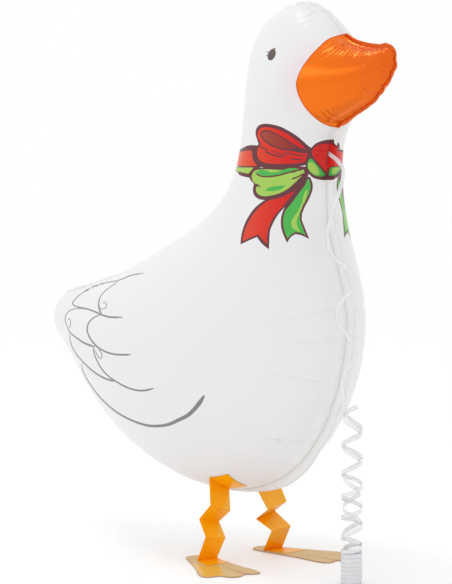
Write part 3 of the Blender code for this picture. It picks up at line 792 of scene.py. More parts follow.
def plain_sheet(creases=None):
    """One side of the balloon laid flat: panel and strip, with its weld and border loops."""
    weld = weld_loop(WELD_STEP)
    loop = weld[:, :2]
    normals = outward_normals(loop)
    rings = []
    for width in [np.full(len(loop), WELD_BAND)] + [weld[:, 2] * share for share in STRIP_RINGS]:
        ring = loop + normals * width[:, None]
        gap, _ = distance_to_loop(ring, loop)
        rings.append(ring[gap > 0.97 * width])
    border = rings[-1]
    inner = []
    for number, depth in enumerate(EDGE_RINGS):
        ring = loop - normals * depth
        gap, _ = distance_to_loop(ring, loop)
        inner.append(ring[(gap > 0.93 * depth) & inside_loop(ring, loop)])
    low, high = loop.min(axis=0), loop.max(axis=0)
    lattice, gap = lattice_points(PANEL_PITCH, low, high, loop)
    if creases is not None:
        parts = [lattice[(gap > EDGE_REACH) & ~fine_zone(lattice)]]
        lattice, gap = lattice_points(EDGE_PITCH, low, high, loop)
        parts.append(lattice[(gap <= EDGE_REACH) & ~fine_zone(lattice)])
        boxes = [(BEAK_FROM, high), (CROWN_FROM, (BEAK_FROM[0], high[1])), (BACK_FROM, BACK_TO)]
        fine = np.concatenate([lattice_points(FINE_PITCH, *box, loop)[0] for box in boxes])
        parts.append(fine[fine_zone(fine)])
        lattice = np.concatenate(parts)
        for line, width, *_ in creases:
            if not fine_zone(line).all():
                lattice = np.concatenate([lattice[~beside_crease(lattice, line, width)],
                                          crease_rows(line, width, loop)])
    points = np.concatenate([loop, border] + rings[:-1] + inner + [lattice])
    edges = ring_edges(0, len(loop)) + ring_edges(len(loop), len(border))
    flat, faces = triangulate(points, edges, border)
    return flat, faces, loop, border


def membrane_height(flat, faces, loop):
    """The height of a blown-up panel: the root of a soap-film hill that stands on the weld line."""
    middles = flat[faces].mean(axis=1)
    panel = faces[inside_loop(middles, loop)]
    corners = flat[panel]
    load = np.zeros(len(flat))
    starts, ends, weights = [], [], []
    area = 0.5 * np.abs(np.cross(corners[:, 1] - corners[:, 0], corners[:, 2] - corners[:, 0]))
    for a in range(3):
        b, c = (a + 1) % 3, (a + 2) % 3
        load += np.bincount(panel[:, a], PANEL_FULLNESS * area / 3, len(flat))
        along = ((corners[:, b] - corners[:, a]) * (corners[:, c] - corners[:, a])).sum(1)
        starts.append(panel[:, b])
        ends.append(panel[:, c])
        weights.append(along / (4 * area))
    starts, ends, weights = np.concatenate(starts), np.concatenate(ends), np.concatenate(weights)
    gap, _ = distance_to_loop(flat, loop)
    free = inside_loop(flat, loop) & (gap > ON_WELD)
    degree = np.bincount(starts, weights, len(flat)) + np.bincount(ends, weights, len(flat))

    def stiffness(values):
        moved = degree * values
        moved -= np.bincount(starts, weights * values[ends], len(flat))
        moved -= np.bincount(ends, weights * values[starts], len(flat))
        return np.where(free, moved, 0.0)

    hill = np.zeros(len(flat))
    rest = np.where(free, load, 0.0)
    scale = np.where(free, 1.0 / np.maximum(degree, 1e-9), 0.0)
    search = scale * rest
    energy = rest @ search
    for _ in range(SOLVER_STEPS):
        pushed = stiffness(search)
        step = energy / (search @ pushed)
        hill += step * search
        rest -= step * pushed
        eased = scale * rest
        fresh = rest @ eased
        if fresh < SOLVER_END:
            break
        search = eased + fresh / energy * search
        energy = fresh
    return np.sqrt(np.maximum(hill, 0.0)) + STRIP_HALF_THICKNESS


def on_middle_plane(place, ray):
    """Where a ray from the camera meets the balloon's middle plane."""
    return place + ray * (-place.y / ray.y)


def outline_on_sheet(tree, pixels):
    """Where the camera's rays meet the balloon's right side, or else its middle plane, as (x, z)."""
    place = camera_axes()[0]
    found = []
    for pixel in pixels:
        ray = pixel_ray(pixel)
        spot, _, _, _ = tree.ray_cast(place, ray)
        if spot is None:
            spot = on_middle_plane(place, ray)
        found.append((spot.x, spot.z))
    return np.array(found)


def outline_on_far_side(tree, pixels):
    """The same on the left side, which shows only right of the weld; past the silhouette it goes round it."""
    place = camera_axes()[0]
    found = []
    for across, down in pixels:
        if across < FAR_SIDE_FROM:
            spot = on_middle_plane(place, pixel_ray((across, down)))
            found.append((spot.x, spot.z))
            continue
        for inward in np.arange(0.0, FAR_SEARCH, FAR_SEARCH_STEP):
            spot, _, _, _ = tree.ray_cast(place, pixel_ray((across - inward, down)))
            if spot is not None:
                break
        found.append((spot.x - (FAR_SIDE_ROUND if inward else 0.0), spot.z))
    return np.array(found)


def flat_tree(flat, faces):
    """A search tree over the flat sheet."""
    return BVHTree.FromPolygons([(x, 0.0, z) for x, z in flat], as_tuples(faces))


def places_on(tree, flat, faces, points):
    """For each (x, z) point, the flat sheet's triangle that holds it and its three shares."""
    corners = np.zeros((len(points), 3), int)
    for row, (x, z) in enumerate(points):
        _, _, number, _ = tree.find_nearest(Vector((x, 0.0, z)))
        corners[row] = faces[number]
    a, b, c = flat[corners[:, 0]], flat[corners[:, 1]], flat[corners[:, 2]]
    whole = np.cross(b - a, c - a)
    share_b = np.cross(points - a, c - a) / whole
    share_c = np.cross(b - a, points - a) / whole
    shares = np.clip(np.stack([1 - share_b - share_c, share_b, share_c], axis=1), 0.0, 1.0)
    return corners, shares / shares.sum(axis=1)[:, None]


def print_shapes():
    """Every print as (material name, outline in pixels), in the order of painting."""
    shapes = [("orange", smooth_outline(BEAK_EDGE + BEAK_OUTSIDE, OUTLINE_STEP))]
    beak_run = BEAK_EDGE[1:-1]
    shapes.append(("beak_line", stroke_outline(beak_run, [BEAK_LINE_WIDTH] * 3, OUTLINE_STEP)))
    for name, outline in BOW:
        shapes.append((name, smooth_outline(outline, OUTLINE_STEP)))
    for points, width in BOW_STROKES:
        shapes.append(("maroon", stroke_outline(points, [width] * 3, OUTLINE_STEP)))
    lean = math.radians(EYE_LEAN)
    oval = []
    for turn in np.linspace(0, 2 * math.pi, EYE_POINTS, endpoint=False):
        across, down = EYE_HALF_WIDTH * math.cos(turn), EYE_HALF_HEIGHT * math.sin(turn)
        oval.append((EYE_CENTRE[0] + across * math.cos(lean) - down * math.sin(lean),
                     EYE_CENTRE[1] + across * math.sin(lean) + down * math.cos(lean)))
    shapes.append(("eye", np.array(oval)))
    for points, width in EYE_LASHES:
        shapes.append(("eye", stroke_outline(points, [width] * 3, LASH_STEP)))
    for points, widths in WING_LINES:
        bold = [width * WING_BOLDNESS for width in widths]
        shapes.append(("wing", stroke_outline(points, bold, OUTLINE_STEP)))
    return shapes


def cut_sheet(flat, faces, loop, border, near, far):
    """The sheet meshed again along the prints, with a material name for each face of both its sides."""
    outlines = [(name, outline_on_sheet(near, pixels)) for name, pixels in print_shapes()]
    far_outlines = [(name, outline_on_far_side(far, smooth_outline(outline, OUTLINE_STEP)))
                    for name, outline in FAR_BOW]
    points, edges = [flat], ring_edges(0, len(loop)) + ring_edges(len(loop), len(border))
    count = len(flat)
    for _, outline in outlines + far_outlines:
        points.append(outline)
        inside = inside_loop(outline, border)
        for k in range(len(outline)):
            ahead = (k + 1) % len(outline)
            if inside[k] or inside[ahead]:
                edges.append((count + k, count + ahead))
        count += len(outline)
    cut, cut_faces = triangulate(np.concatenate(points), edges, border)
    used = np.unique(cut_faces)
    renumber = np.full(len(cut), -1)
    renumber[used] = np.arange(len(used))
    cut, cut_faces = cut[used], renumber[cut_faces]
    middles = cut[cut_faces].mean(axis=1)
    names = np.full(len(cut_faces), "white", dtype=object)
    outside = ~inside_loop(middles, loop)
    names[outside] = "strip"
    gap, _ = distance_to_loop(middles, loop)
    front = (middles[:, 0] > 0) & (middles[:, 1] < BREAST[0][1] * STANDING_HEIGHT)
    band = front & outside & (gap < WELD_BAND)
    names[band] = "weld"
    # The near side's faces next to the breast's weld take the foil with painted light
    names[front & ~outside & (gap < BREAST_PAINTED_LIGHT_BAND)] = "breast"
    for name, outline in outlines:
        names[inside_loop(middles, outline)] = name
    names[outside & (names == "orange")] = "beak_rim"
    names[band & (names == "red")] = "maroon"
    # The far side keeps plain white foil there, without the painted light
    far_names = np.where(names == "breast", "white", names)
    for name, outline in far_outlines:
        far_names[inside_loop(middles, outline) & ~outside] = name
    return cut, cut_faces, names, far_names


def border_ring(faces):
    """The mesh's border points in order round it, and the face at which each one's edge starts."""
    sides = {}
    for number, (a, b, c) in enumerate(faces):
        for start, end in ((a, b), (b, c), (c, a)):
            sides[(int(start), int(end))] = number
    ahead = {start: end for start, end in sides if (end, start) not in sides}
    first = next(iter(ahead))
    ring, here = [first], ahead[first]
    while here != first:
        ring.append(here)
        here = ahead[here]
    return ring, [sides[(here, ahead[here])] for here in ring]


def make_balloon(materials):
    """The blown-up balloon with its prints, both sides and the welded strip."""
    flat, faces, loop, border = plain_sheet()
    height = membrane_height(flat, faces, loop)
    right = np.stack([flat[:, 0], -height, flat[:, 1]], axis=1)
    near = BVHTree.FromPolygons([tuple(point) for point in right], as_tuples(faces))
    panel = faces[inside_loop(flat[faces].mean(axis=1), loop)]
    far = BVHTree.FromPolygons([(x, -y, z) for x, y, z in right], as_tuples(panel))
    creases = placed_creases(near)
    flat, faces, loop, border = plain_sheet(creases)
    height = membrane_height(flat, faces, loop)
    cut, cut_faces, names, far_names = cut_sheet(flat, faces, loop, border, near, far)
    corners, shares = places_on(flat_tree(flat, faces), flat, faces, cut)
    sides = []
    for sign in (-1, 1):
        skin = blown_side(flat, faces, loop, height, sign, creases)
        sides.append((skin[corners] * shares[..., None]).sum(axis=1))
    points = np.concatenate(sides)
    count = len(cut)
    skin_faces = [tuple(face) for face in cut_faces] + [tuple(face[::-1] + count) for face in cut_faces]
    ring, beside = border_ring(cut_faces)
    rim, rim_names = [], []
    for here, ahead, face in zip(ring, ring[1:] + ring[:1], beside):
        rim += [(ahead, here, here + count), (ahead, here + count, ahead + count)]
        rim_names += [names[face]] * 2
    order = list(materials)
    indices = [order.index(name) for name in [*names, *far_names, *rim_names]]
    balloon = mesh_object("balloon_skin", points, skin_faces + rim, list(materials.values()), indices)
    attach(balloon, "root")
    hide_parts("balloon")
    return balloon


def placed_creases(tree):
    """The creases as (line on the sheet, width, depth, strength at the start, strength at the end)."""
    found = []
    for points, width, depth, start, end in CREASES:
        line = outline_on_sheet(tree, even_run(smooth_run(points), CREASE_PIXELS))
        found.append((line, width, depth, start, end))
    chance = np.random.default_rng(FAN_SEED)
    starts, ends = even_run(smooth_run(FAN_STARTS), 0.5), even_run(smooth_run(FAN_ENDS), 0.5)
    for number in range(FAN_COUNT):
        share = (number + chance.uniform(-FAN_JITTER, FAN_JITTER)) / (FAN_COUNT - 1)
        share = min(max(share, 0.0), 1.0)
        here = starts[int(share * (len(starts) - 1))]
        there = ends[int(share * (len(ends) - 1))]
        reach = chance.uniform(*FAN_REACH)
        sag = chance.uniform(*FAN_SAG)
        line = np.array([here, here + (there - here) * reach / 2 + (0.5, sag), here + (there - here) * reach])
        line = outline_on_sheet(tree, even_run(smooth_run(line), FAN_PIXELS))
        found.append((line, FAN_WIDTH, FAN_DEPTH * chance.uniform(*FAN_STRENGTH), 1.0, 0.1))
    return found


def nearest_point(loop, shares):
    """The number of the weld point that is nearest to one given in shares of the standing height."""
    return np.linalg.norm(loop - np.multiply(shares, STANDING_HEIGHT), axis=1).argmin()


def weld_creases(loop, sign):
    """Puckers along the weld: where each starts on it, and its line, width and depth on this side."""
    places = way_along(loop)
    normals = outward_normals(loop)
    shared, own = np.random.default_rng(SHARED_SEED), np.random.default_rng(PUCKER_SEEDS[sign])
    found = []
    for first, last, spacing, reach, depth, ruffle in PUCKERS.values():
        place, stop = places[nearest_point(loop, first)], places[nearest_point(loop, last)]
        width = max(PUCKER_NARROWEST, min(PUCKER_WIDTH_SHARE * spacing, PUCKER_WIDEST))
        while True:
            place += spacing * shared.uniform(*PUCKER_SPACING)
            if place >= stop:
                break
            strong = shared.uniform(*PUCKER_STRENGTH) ** 1.5
            number = int(np.searchsorted(places, place)) % len(loop)
            inward = -normals[number]
            tilt = own.uniform(-PUCKER_TILT, PUCKER_TILT)
            turned = np.array([inward[0] * math.cos(tilt) - inward[1] * math.sin(tilt),
                               inward[0] * math.sin(tilt) + inward[1] * math.cos(tilt)])
            length = reach * own.uniform(*PUCKER_LENGTH) * (0.5 + 0.5 * strong)
            start = loop[number]
            bent = turned + PUCKER_BEND * own.uniform(-1, 1) * np.array([-turned[1], turned[0]])
            line = np.array([start, start + turned * length * 0.5, start + (turned + bent) * length * 0.5])
            found.append((place, ruffle * strong, line, width, depth * strong * own.uniform(*PUCKER_DEPTH)))
    return found, places


def pucker_strength(share):
    """How strongly a pucker is pressed at a share of its way in from the weld."""
    return (1 - share) ** 1.3


def crease_strength(share, start, end):
    """How strongly a crease is pressed at a share of its way; it tapers out at an end that isn't full."""
    opening = np.clip(8 * share + (start > FULL_STRENGTH), 0.0, 1.0)
    closing = np.clip(8 * (1 - share) + (end > FULL_STRENGTH), 0.0, 1.0)
    return (start + (end - start) * share) * opening * closing


def press_crease(relief, flat, line, width, depth, strength):
    """Press one crease into the relief: a narrow dip with a low shoulder on either side."""
    reach = CREASE_REACH * width
    low, high = line.min(axis=0) - reach, line.max(axis=0) + reach
    near = np.flatnonzero(((flat > low) & (flat < high)).all(axis=1))
    if not len(near):
        return
    gap, place = distance_to_loop(flat[near], line, closed=False)
    share = place / (len(line) - 1)
    shoulder = np.exp(-((gap - SHOULDER_PLACE * width) / width) ** 2)
    dip = -np.exp(-(gap / width) ** 2) + SHOULDER_HEIGHT * shoulder
    relief[near] += depth * strength(share) * dip


def side_normals(points, faces, sign):
    """Unit normals of one side's points, pointing out of the balloon."""
    corners = points[faces]
    turn = np.cross(corners[:, 1] - corners[:, 0], corners[:, 2] - corners[:, 0])
    normals = np.stack([sum(np.bincount(faces[:, corner], turn[:, axis], len(points)) for corner in range(3))
                        for axis in range(3)], axis=1)
    normals /= np.maximum(np.linalg.norm(normals, axis=1), 1e-12)[:, None]
    return normals * np.where(normals[:, 1:2] * sign < 0, -1.0, 1.0)


def blown_side(flat, faces, loop, height, sign, creases):
    """One side of the balloon in space, with its puckers, creases and ruffled weld."""
    base = np.stack([flat[:, 0], sign * height, flat[:, 1]], axis=1)
    inside = inside_loop(flat, loop)
    gap, place = distance_to_loop(flat, loop)
    relief = np.zeros(len(flat))
    puckers, places = weld_creases(loop, sign)
    for _, _, line, width, depth in puckers:
        press_crease(relief, flat, line, width, depth, pucker_strength)
    for line, width, depth, start, end in creases:
        press_crease(relief, flat, line, width, depth, lambda share: crease_strength(share, start, end))
    relief *= np.where(inside, np.clip(gap / RELIEF_EASE, 0.0, 1.0), 0.0)

    around = np.interp(place, np.arange(len(loop)), places)
    centres = np.array([pucker[0] for pucker in puckers])
    ruffles = np.array([pucker[1] for pucker in puckers])
    widths = np.array([pucker[3] for pucker in puckers])
    swings = ruffles * np.where(np.arange(len(centres)) % 2, 1.0, -1.0)
    swing = np.interp(around, centres, swings, left=0.0, right=0.0)
    pull = np.zeros(len(flat))
    for centre, ruffle, width in zip(centres, ruffles, widths):
        near = np.abs(around - centre) < CREASE_REACH * width
        pull[near] += ruffle * np.exp(-((around[near] - centre) / (NOTCH_WIDTH * width)) ** 2)
    fade = np.where(inside, np.exp(-gap / RUFFLE_INSIDE), 1.0 + gap / RUFFLE_OUTSIDE)
    number = place.astype(int) % len(loop)
    outward = outward_normals(loop)[number]
    moved = base + side_normals(base, faces, sign) * relief[:, None]
    moved[:, 1] += swing * fade
    moved[:, [0, 2]] -= outward * (NOTCH_PULL * pull * np.minimum(fade, 1.0))[:, None]
    return moved


def plain_material(name, colour, roughness, bump=0.0, grain=400.0, mottle=0.03, fade=None, **sockets):
    """A principled surface with a faint mottle in its colour and a fine bump.

    A fade is (second colour, direction, start, end): the colour goes over to the second one on that way.
    """
    made = bpy.data.materials.new(name)
    made.use_nodes = True
    nodes, links = made.node_tree.nodes, made.node_tree.links
    shader = nodes["Principled BSDF"]
    shader.inputs["Roughness"].default_value = roughness
    for socket, value in sockets.items():
        shader.inputs[socket].default_value = value
    place = nodes.new("ShaderNodeTexCoord")
    noise = nodes.new("ShaderNodeTexNoise")
    noise.inputs["Scale"].default_value = MOTTLE_SCALE
    noise.inputs["Detail"].default_value = MOTTLE_DETAIL
    links.new(place.outputs["Object"], noise.inputs["Vector"])
    ramp = nodes.new("ShaderNodeValToRGB")
    ramp.color_ramp.elements[0].position = MOTTLE_FROM
    ramp.color_ramp.elements[1].position = MOTTLE_TO
    ramp.color_ramp.elements[0].color = [channel * (1 - mottle) for channel in colour] + [1.0]
    ramp.color_ramp.elements[1].color = [min(1.0, channel * (1 + mottle)) for channel in colour] + [1.0]
    if fade:
        second, direction, start, end = fade
        along = nodes.new("ShaderNodeVectorMath")
        along.operation = "DOT_PRODUCT"
        along.inputs[1].default_value = direction
        links.new(place.outputs["Object"], along.inputs[0])
        share = nodes.new("ShaderNodeMapRange")
        share.inputs["From Min"].default_value = start
        share.inputs["From Max"].default_value = end
        links.new(along.outputs["Value"], share.inputs["Value"])
        varied = nodes.new("ShaderNodeMath")
        varied.operation = "MULTIPLY_ADD"
        varied.inputs[1].default_value = FADE_GRAIN
        links.new(noise.outputs["Fac"], varied.inputs[0])
        links.new(share.outputs["Result"], varied.inputs[2])
        ramp.color_ramp.elements[0].color = [*colour, 1.0]
        ramp.color_ramp.elements[1].color = [*second, 1.0]
        ramp.color_ramp.elements[0].position = FADE_GRAIN / 2
        ramp.color_ramp.elements[1].position = 1.0
        links.new(varied.outputs["Value"], ramp.inputs["Fac"])
    else:
        links.new(noise.outputs["Fac"], ramp.inputs["Fac"])
    links.new(ramp.outputs["Color"], shader.inputs["Base Color"])
    if bump:
        fine = nodes.new("ShaderNodeTexNoise")
        fine.inputs["Scale"].default_value = grain
        links.new(place.outputs["Object"], fine.inputs["Vector"])
        raised = nodes.new("ShaderNodeBump")
        raised.inputs["Strength"].default_value = bump
        raised.inputs["Distance"].default_value = BUMP_DEPTH
        links.new(fine.outputs["Fac"], raised.inputs["Height"])
        links.new(raised.outputs["Normal"], shader.inputs["Normal"])
    return made


def tone(red, green, blue):
    """A colour given in screen values, as the shader wants it."""
    return [((c / 255 + 0.055) / 1.055) ** 2.4 if c > 10 else c / 255 / 12.92 for c in (red, green, blue)]


def blushing_foil(colour, blush, finish):
    """White foil with a faint pink cheek on each side of the head, next to the beak."""
    made = plain_material("white_foil", colour, **finish)
    nodes, links = made.node_tree.nodes, made.node_tree.links
    place = nodes.new("ShaderNodeTexCoord")
    both_sides = nodes.new("ShaderNodeVectorMath")
    both_sides.operation = "ABSOLUTE"
    links.new(place.outputs["Object"], both_sides.inputs[0])
    gap = nodes.new("ShaderNodeVectorMath")
    gap.operation = "DISTANCE"
    gap.inputs[1].default_value = BLUSH_CENTRE
    links.new(both_sides.outputs["Vector"], gap.inputs[0])
    ramp = nodes.new("ShaderNodeValToRGB")
    ramp.color_ramp.elements[0].position = BLUSH_INSIDE
    ramp.color_ramp.elements[1].position = BLUSH_OUTSIDE
    ramp.color_ramp.elements[0].color = [*blush, 1.0]
    ramp.color_ramp.elements[1].color = [*colour, 1.0]
    links.new(gap.outputs["Value"], ramp.inputs["Fac"])
    links.new(ramp.outputs["Color"], nodes["Principled BSDF"].inputs["Base Color"])
    return made


def balloon_materials():
    """The foil and everything printed on it, by name."""
    foil = {"roughness": 0.28, "bump": 0.03, "mottle": 0.006, "Specular IOR Level": 0.18}
    ink = {"roughness": 0.28, "bump": 0.03, "mottle": 0.03, "Specular IOR Level": 0.25}
    film = {"roughness": 0.20, "bump": 0.02, "mottle": 0.03, "Specular IOR Level": 1.0,
            "Specular Tint": (1.0, 0.60, 0.30, 1.0), "Metallic": 0.45}
    breast_painted_light = (tone(229, 229, 230), *BREAST_PAINTED_LIGHT)
    beak_painted_shade = (tone(228, 92, 0), *BEAK_PAINTED_SHADE)
    red_fade = (tone(210, 34, 28), *RED_FADE)
    hollow_fade = (tone(136, 44, 38), *HOLLOW_FADE)
    return {
        "white": blushing_foil(tone(229, 229, 230), tone(230, 218, 221), foil),
        # Painted light: this foil is lighter next to the breast's weld, lifting the shade of the hollow
        # beside it
        "breast": plain_material("breast_foil_painted_light", tone(240, 240, 240), fade=breast_painted_light, **foil),
        # Painted light: the strip is the panel's foil given a lighter tone, lifting the shade it takes facing
        # sideways
        "strip": plain_material("weld_strip_painted_light", tone(236, 236, 236), **foil),
        "weld": plain_material("weld_line", tone(216, 214, 205), **foil),
        # Painted shade: the beak's orange foil darkens toward its tip and top
        "orange": plain_material("orange_foil_painted_shade", tone(240, 110, 0), fade=beak_painted_shade, **film),
        "beak_rim": plain_material("beak_rim", tone(216, 82, 0), **film),
        "beak_line": plain_material("beak_line", tone(205, 84, 12), **ink),
        "maroon": plain_material("maroon_ink", tone(102, 56, 62), **ink),
        "red": plain_material("red_ink", tone(222, 86, 50), fade=red_fade, **ink),
        "hollow": plain_material("hollow_ink", tone(180, 84, 66), fade=hollow_fade, **ink),
        "green": plain_material("green_ink", tone(76, 178, 78), **ink),
        "light": plain_material("light_green_ink", tone(162, 200, 90), **ink),
        "eye": plain_material("eye_ink", tone(96, 84, 80), **ink),
        "wing": plain_material("wing_ink", tone(128, 126, 126), **ink),
    }


def foot_materials():
    """The card's cut edge, its face, its printed webs and the film on it, in the order of FOOT_SURFACES."""
    return [
        plain_material("card_edge", tone(196, 152, 114), 0.7, mottle=0.04),
        plain_material("tan_card", tone(214, 184, 128), 0.6, bump=0.2, mottle=0.03),
        plain_material("web_print", tone(205, 160, 118), 0.6, bump=0.2, mottle=0.03),
        plain_material("film_on_card", tone(228, 178, 66), 0.35, mottle=0.04),
    ]


def foot_sheet(side):
    """One foot laid flat from its heel: its points, its faces, and the number of what each face shows."""
    outline = np.array(foot_outline())
    shapes = [("card", inset(outline, FOOT_RIM))]
    for aside in (1, -1):
        shapes.append(("web", np.array([(forward, aside * across) for forward, across in FOOT_WEB])))
    if side == "right":
        shapes.append(("film", np.array(FOOT_FILM)))
    columns = np.arange(-FOOT_GRID_ASIDE, FOOT_GRID_ASIDE + 0.001, FOOT_GRID)
    grid = np.array([(x, y) for x in np.arange(FOOT_GRID_FROM, FOOT_LENGTH, FOOT_GRID) for y in columns])
    grid = grid[inside_loop(grid, outline)]
    gap, _ = distance_to_loop(grid, outline)
    points, edges, count = [outline], ring_edges(0, len(outline)), len(outline)
    for _, shape in shapes:
        points.append(shape)
        edges += ring_edges(count, len(shape))
        count += len(shape)
    flat, faces = triangulate(np.concatenate(points + [grid[gap > FOOT_GRID_CLEAR]]), edges, outline)
    middles = flat[faces].mean(axis=1)
    numbers = np.zeros(len(faces), int)
    for name, shape in shapes:
        numbers[inside_loop(middles, shape)] = FOOT_SURFACES.index(name)
    return flat, faces, numbers


def make_feet(surfaces):
    """Two printed card feet."""
    for side in ("right", "left"):
        flat, faces, numbers = foot_sheet(side)
        heading = math.radians(FOOT_HEADINGS[side])
        heel_x, heel_y = FOOT_HEELS[side]
        x = heel_x + flat[:, 0] * math.cos(heading) - flat[:, 1] * math.sin(heading)
        y = heel_y + flat[:, 0] * math.sin(heading) + flat[:, 1] * math.cos(heading)
        top = np.stack([x, y, np.full(len(x), FOOT_THICKNESS)], axis=1)
        bottom = np.stack([x, y, np.zeros(len(x))], axis=1)
        count = len(x)
        ring, _ = border_ring(faces)
        rim = [(here, here + count, ahead + count, ahead) for here, ahead in zip(ring, ring[1:] + ring[:1])]
        skin = [tuple(face) for face in faces] + [tuple(face[::-1] + count) for face in faces] + rim
        under = [FOOT_SURFACES.index("card")] * len(faces)
        foot = mesh_object("foot_card_" + side, np.concatenate([top, bottom]), skin, surfaces,
                           list(numbers) + under + [0] * len(rim))
        foot.data.shade_flat()
        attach(foot, "root")
        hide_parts("foot_" + side)


def inset(outline, depth):
    """An outline drawn in by a depth, with what crosses itself left out."""
    normals = outward_normals(outline)
    moved = outline + normals * depth
    if not inside_loop(moved[:1] * 0.999 + outline.mean(axis=0) * 0.001, outline)[0]:
        moved = outline - normals * depth
    gap, _ = distance_to_loop(moved, outline)
    return moved[gap > 0.9 * depth]


def foot_outline():
    """The foot's edge, drawn forward along +X from a heel at the origin: round heel, webbed toes."""
    radius = FOOT_HEEL_RADIUS
    edge = []
    for angle in np.linspace(110, 250, 11):
        turn = math.radians(angle)
        edge.append((radius + radius * math.cos(turn), radius * math.sin(turn)))
    toes = [
        (0.55 * FOOT_LENGTH, -0.74 * FOOT_SPREAD), (0.80 * FOOT_LENGTH, -0.99 * FOOT_SPREAD),
        (0.905 * FOOT_LENGTH, -0.98 * FOOT_SPREAD), (0.93 * FOOT_LENGTH, -0.80 * FOOT_SPREAD),
        (0.915 * FOOT_LENGTH, -0.46 * FOOT_SPREAD), (0.985 * FOOT_LENGTH, -0.20 * FOOT_SPREAD),
        (FOOT_LENGTH, 0.0),
    ]
    side = smooth_run([edge[-1]] + toes, 8)[1:-1]
    edge += [tuple(point) for point in side]
    edge.append((FOOT_LENGTH, 0.0))
    edge += [(x, -y) for x, y in reversed([tuple(point) for point in side])]
    return edge


def glued(belly, x, y):
    """The film's middle at a place where it is glued under the belly."""
    hit, normal, _, _ = belly.ray_cast(Vector((x, y, 0.0)), Vector((0.0, 0.0, 1.0)))
    return (x, y, hit.z - (GLUE_GAP + LEG_THICKNESS / 2) / max(LEAST_SLOPE, abs(normal.z)))


def film_spot(belly, side, path, share):
    """The film's middle at a place down the leg and a share of its width from its right-hand edge."""
    top_x, top_y = LEG_TOPS[side]
    bottom_x, bottom_y = LEG_BOTTOMS[side]
    aside = LEG_WIDTH * (share - 0.5)
    if path <= 0:
        return glued(belly, top_x - path * LEG_FLAP, top_y + aside)
    on_foot = FOOT_THICKNESS + LEG_THICKNESS / 2 + FILM_ON_FOOT_GAP
    if path >= LAST_CREASE:
        forward = (path - LAST_CREASE) * LEG_FLAP
        heading = math.tan(math.radians(FOOT_HEADINGS[side]))
        return (bottom_x + forward, bottom_y + aside + forward * heading, on_foot)
    outer = 1 - share if side == "right" else share
    knots = [(top_x, top_y, None)]
    knots += [(x, y, inner + (far - inner) * outer) for x, y, inner, far in LEG_FOLDS[side]]
    knots.append((bottom_x, bottom_y, on_foot))
    step = min(LAST_CREASE - 1, int(path))
    part = path - step
    (x0, y0, z0), (x1, y1, z1) = knots[step], knots[step + 1]
    if z0 is None:
        z0 = glued(belly, x0, y0 + aside)[2]
    return (x0 + (x1 - x0) * part, y0 + (y1 - y0) * part + aside, z0 + (z1 - z0) * part)


def has_area(corners):
    """Whether a four-sided face has any area."""
    sides = [np.subtract(corners[k], corners[k - 1]) for k in (1, 2, 3, 0)]
    crossed = [np.linalg.norm(np.cross(sides[k], sides[k + 1])) for k in (0, 2)]
    return sum(crossed) > EMPTY_FACE


def leg_film(belly, side):
    """One leg's film: its points, its faces, and for each face 0 where it looks double, or else 1."""
    points, faces, numbers = [], [], []
    for (start, wide), (end, next_wide) in zip(DOUBLED[side], DOUBLED[side][1:]):
        if end <= start:
            continue
        rows = np.linspace(start, end, 2 + 6 * int(start < 0) + int(round((end - start) * 4)))
        for number in (0, 1):
            first = len(points)
            for path in rows:
                split = wide + (next_wide - wide) * (path - start) / (end - start)
                low, high = (0.0, split) if number == 0 else (split, 1.0)
                for share in np.linspace(low, high, FILM_COLUMNS):
                    points.append(film_spot(belly, side, path, share))
            for row in range(len(rows) - 1):
                for column in range(FILM_COLUMNS - 1):
                    a = first + row * FILM_COLUMNS + column
                    corner = [a, a + 1, a + 1 + FILM_COLUMNS, a + FILM_COLUMNS]
                    if has_area([points[k] for k in corner]):
                        faces.append(corner)
                        numbers.append(number)
    return points, faces, numbers


def make_legs(balloon, doubled, single):
    """Folded film legs with a flap glued under the belly and one glued on the foot."""
    belly = BVHTree.FromObject(balloon, bpy.context.evaluated_depsgraph_get())
    for side in ("right", "left"):
        points, faces, numbers = leg_film(belly, side)
        leg = mesh_object("leg_film_" + side, points, faces, [doubled, single], numbers)
        leg.data.shade_flat()
        wall = leg.modifiers.new("film", "SOLIDIFY")
        wall.thickness = LEG_THICKNESS
        wall.offset = 0.0
        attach(leg, "root")
        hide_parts("leg_" + side)


def running_mean(rows, reach):
    """Each column's mean over a row and its neighbours, up to a reach on either side."""
    padded = np.pad(rows, ((reach, reach), (0, 0)), mode="edge")
    kernel = np.ones(2 * reach + 1) / (2 * reach + 1)
    return np.stack([np.convolve(column, kernel, mode="valid") for column in padded.T], axis=1)


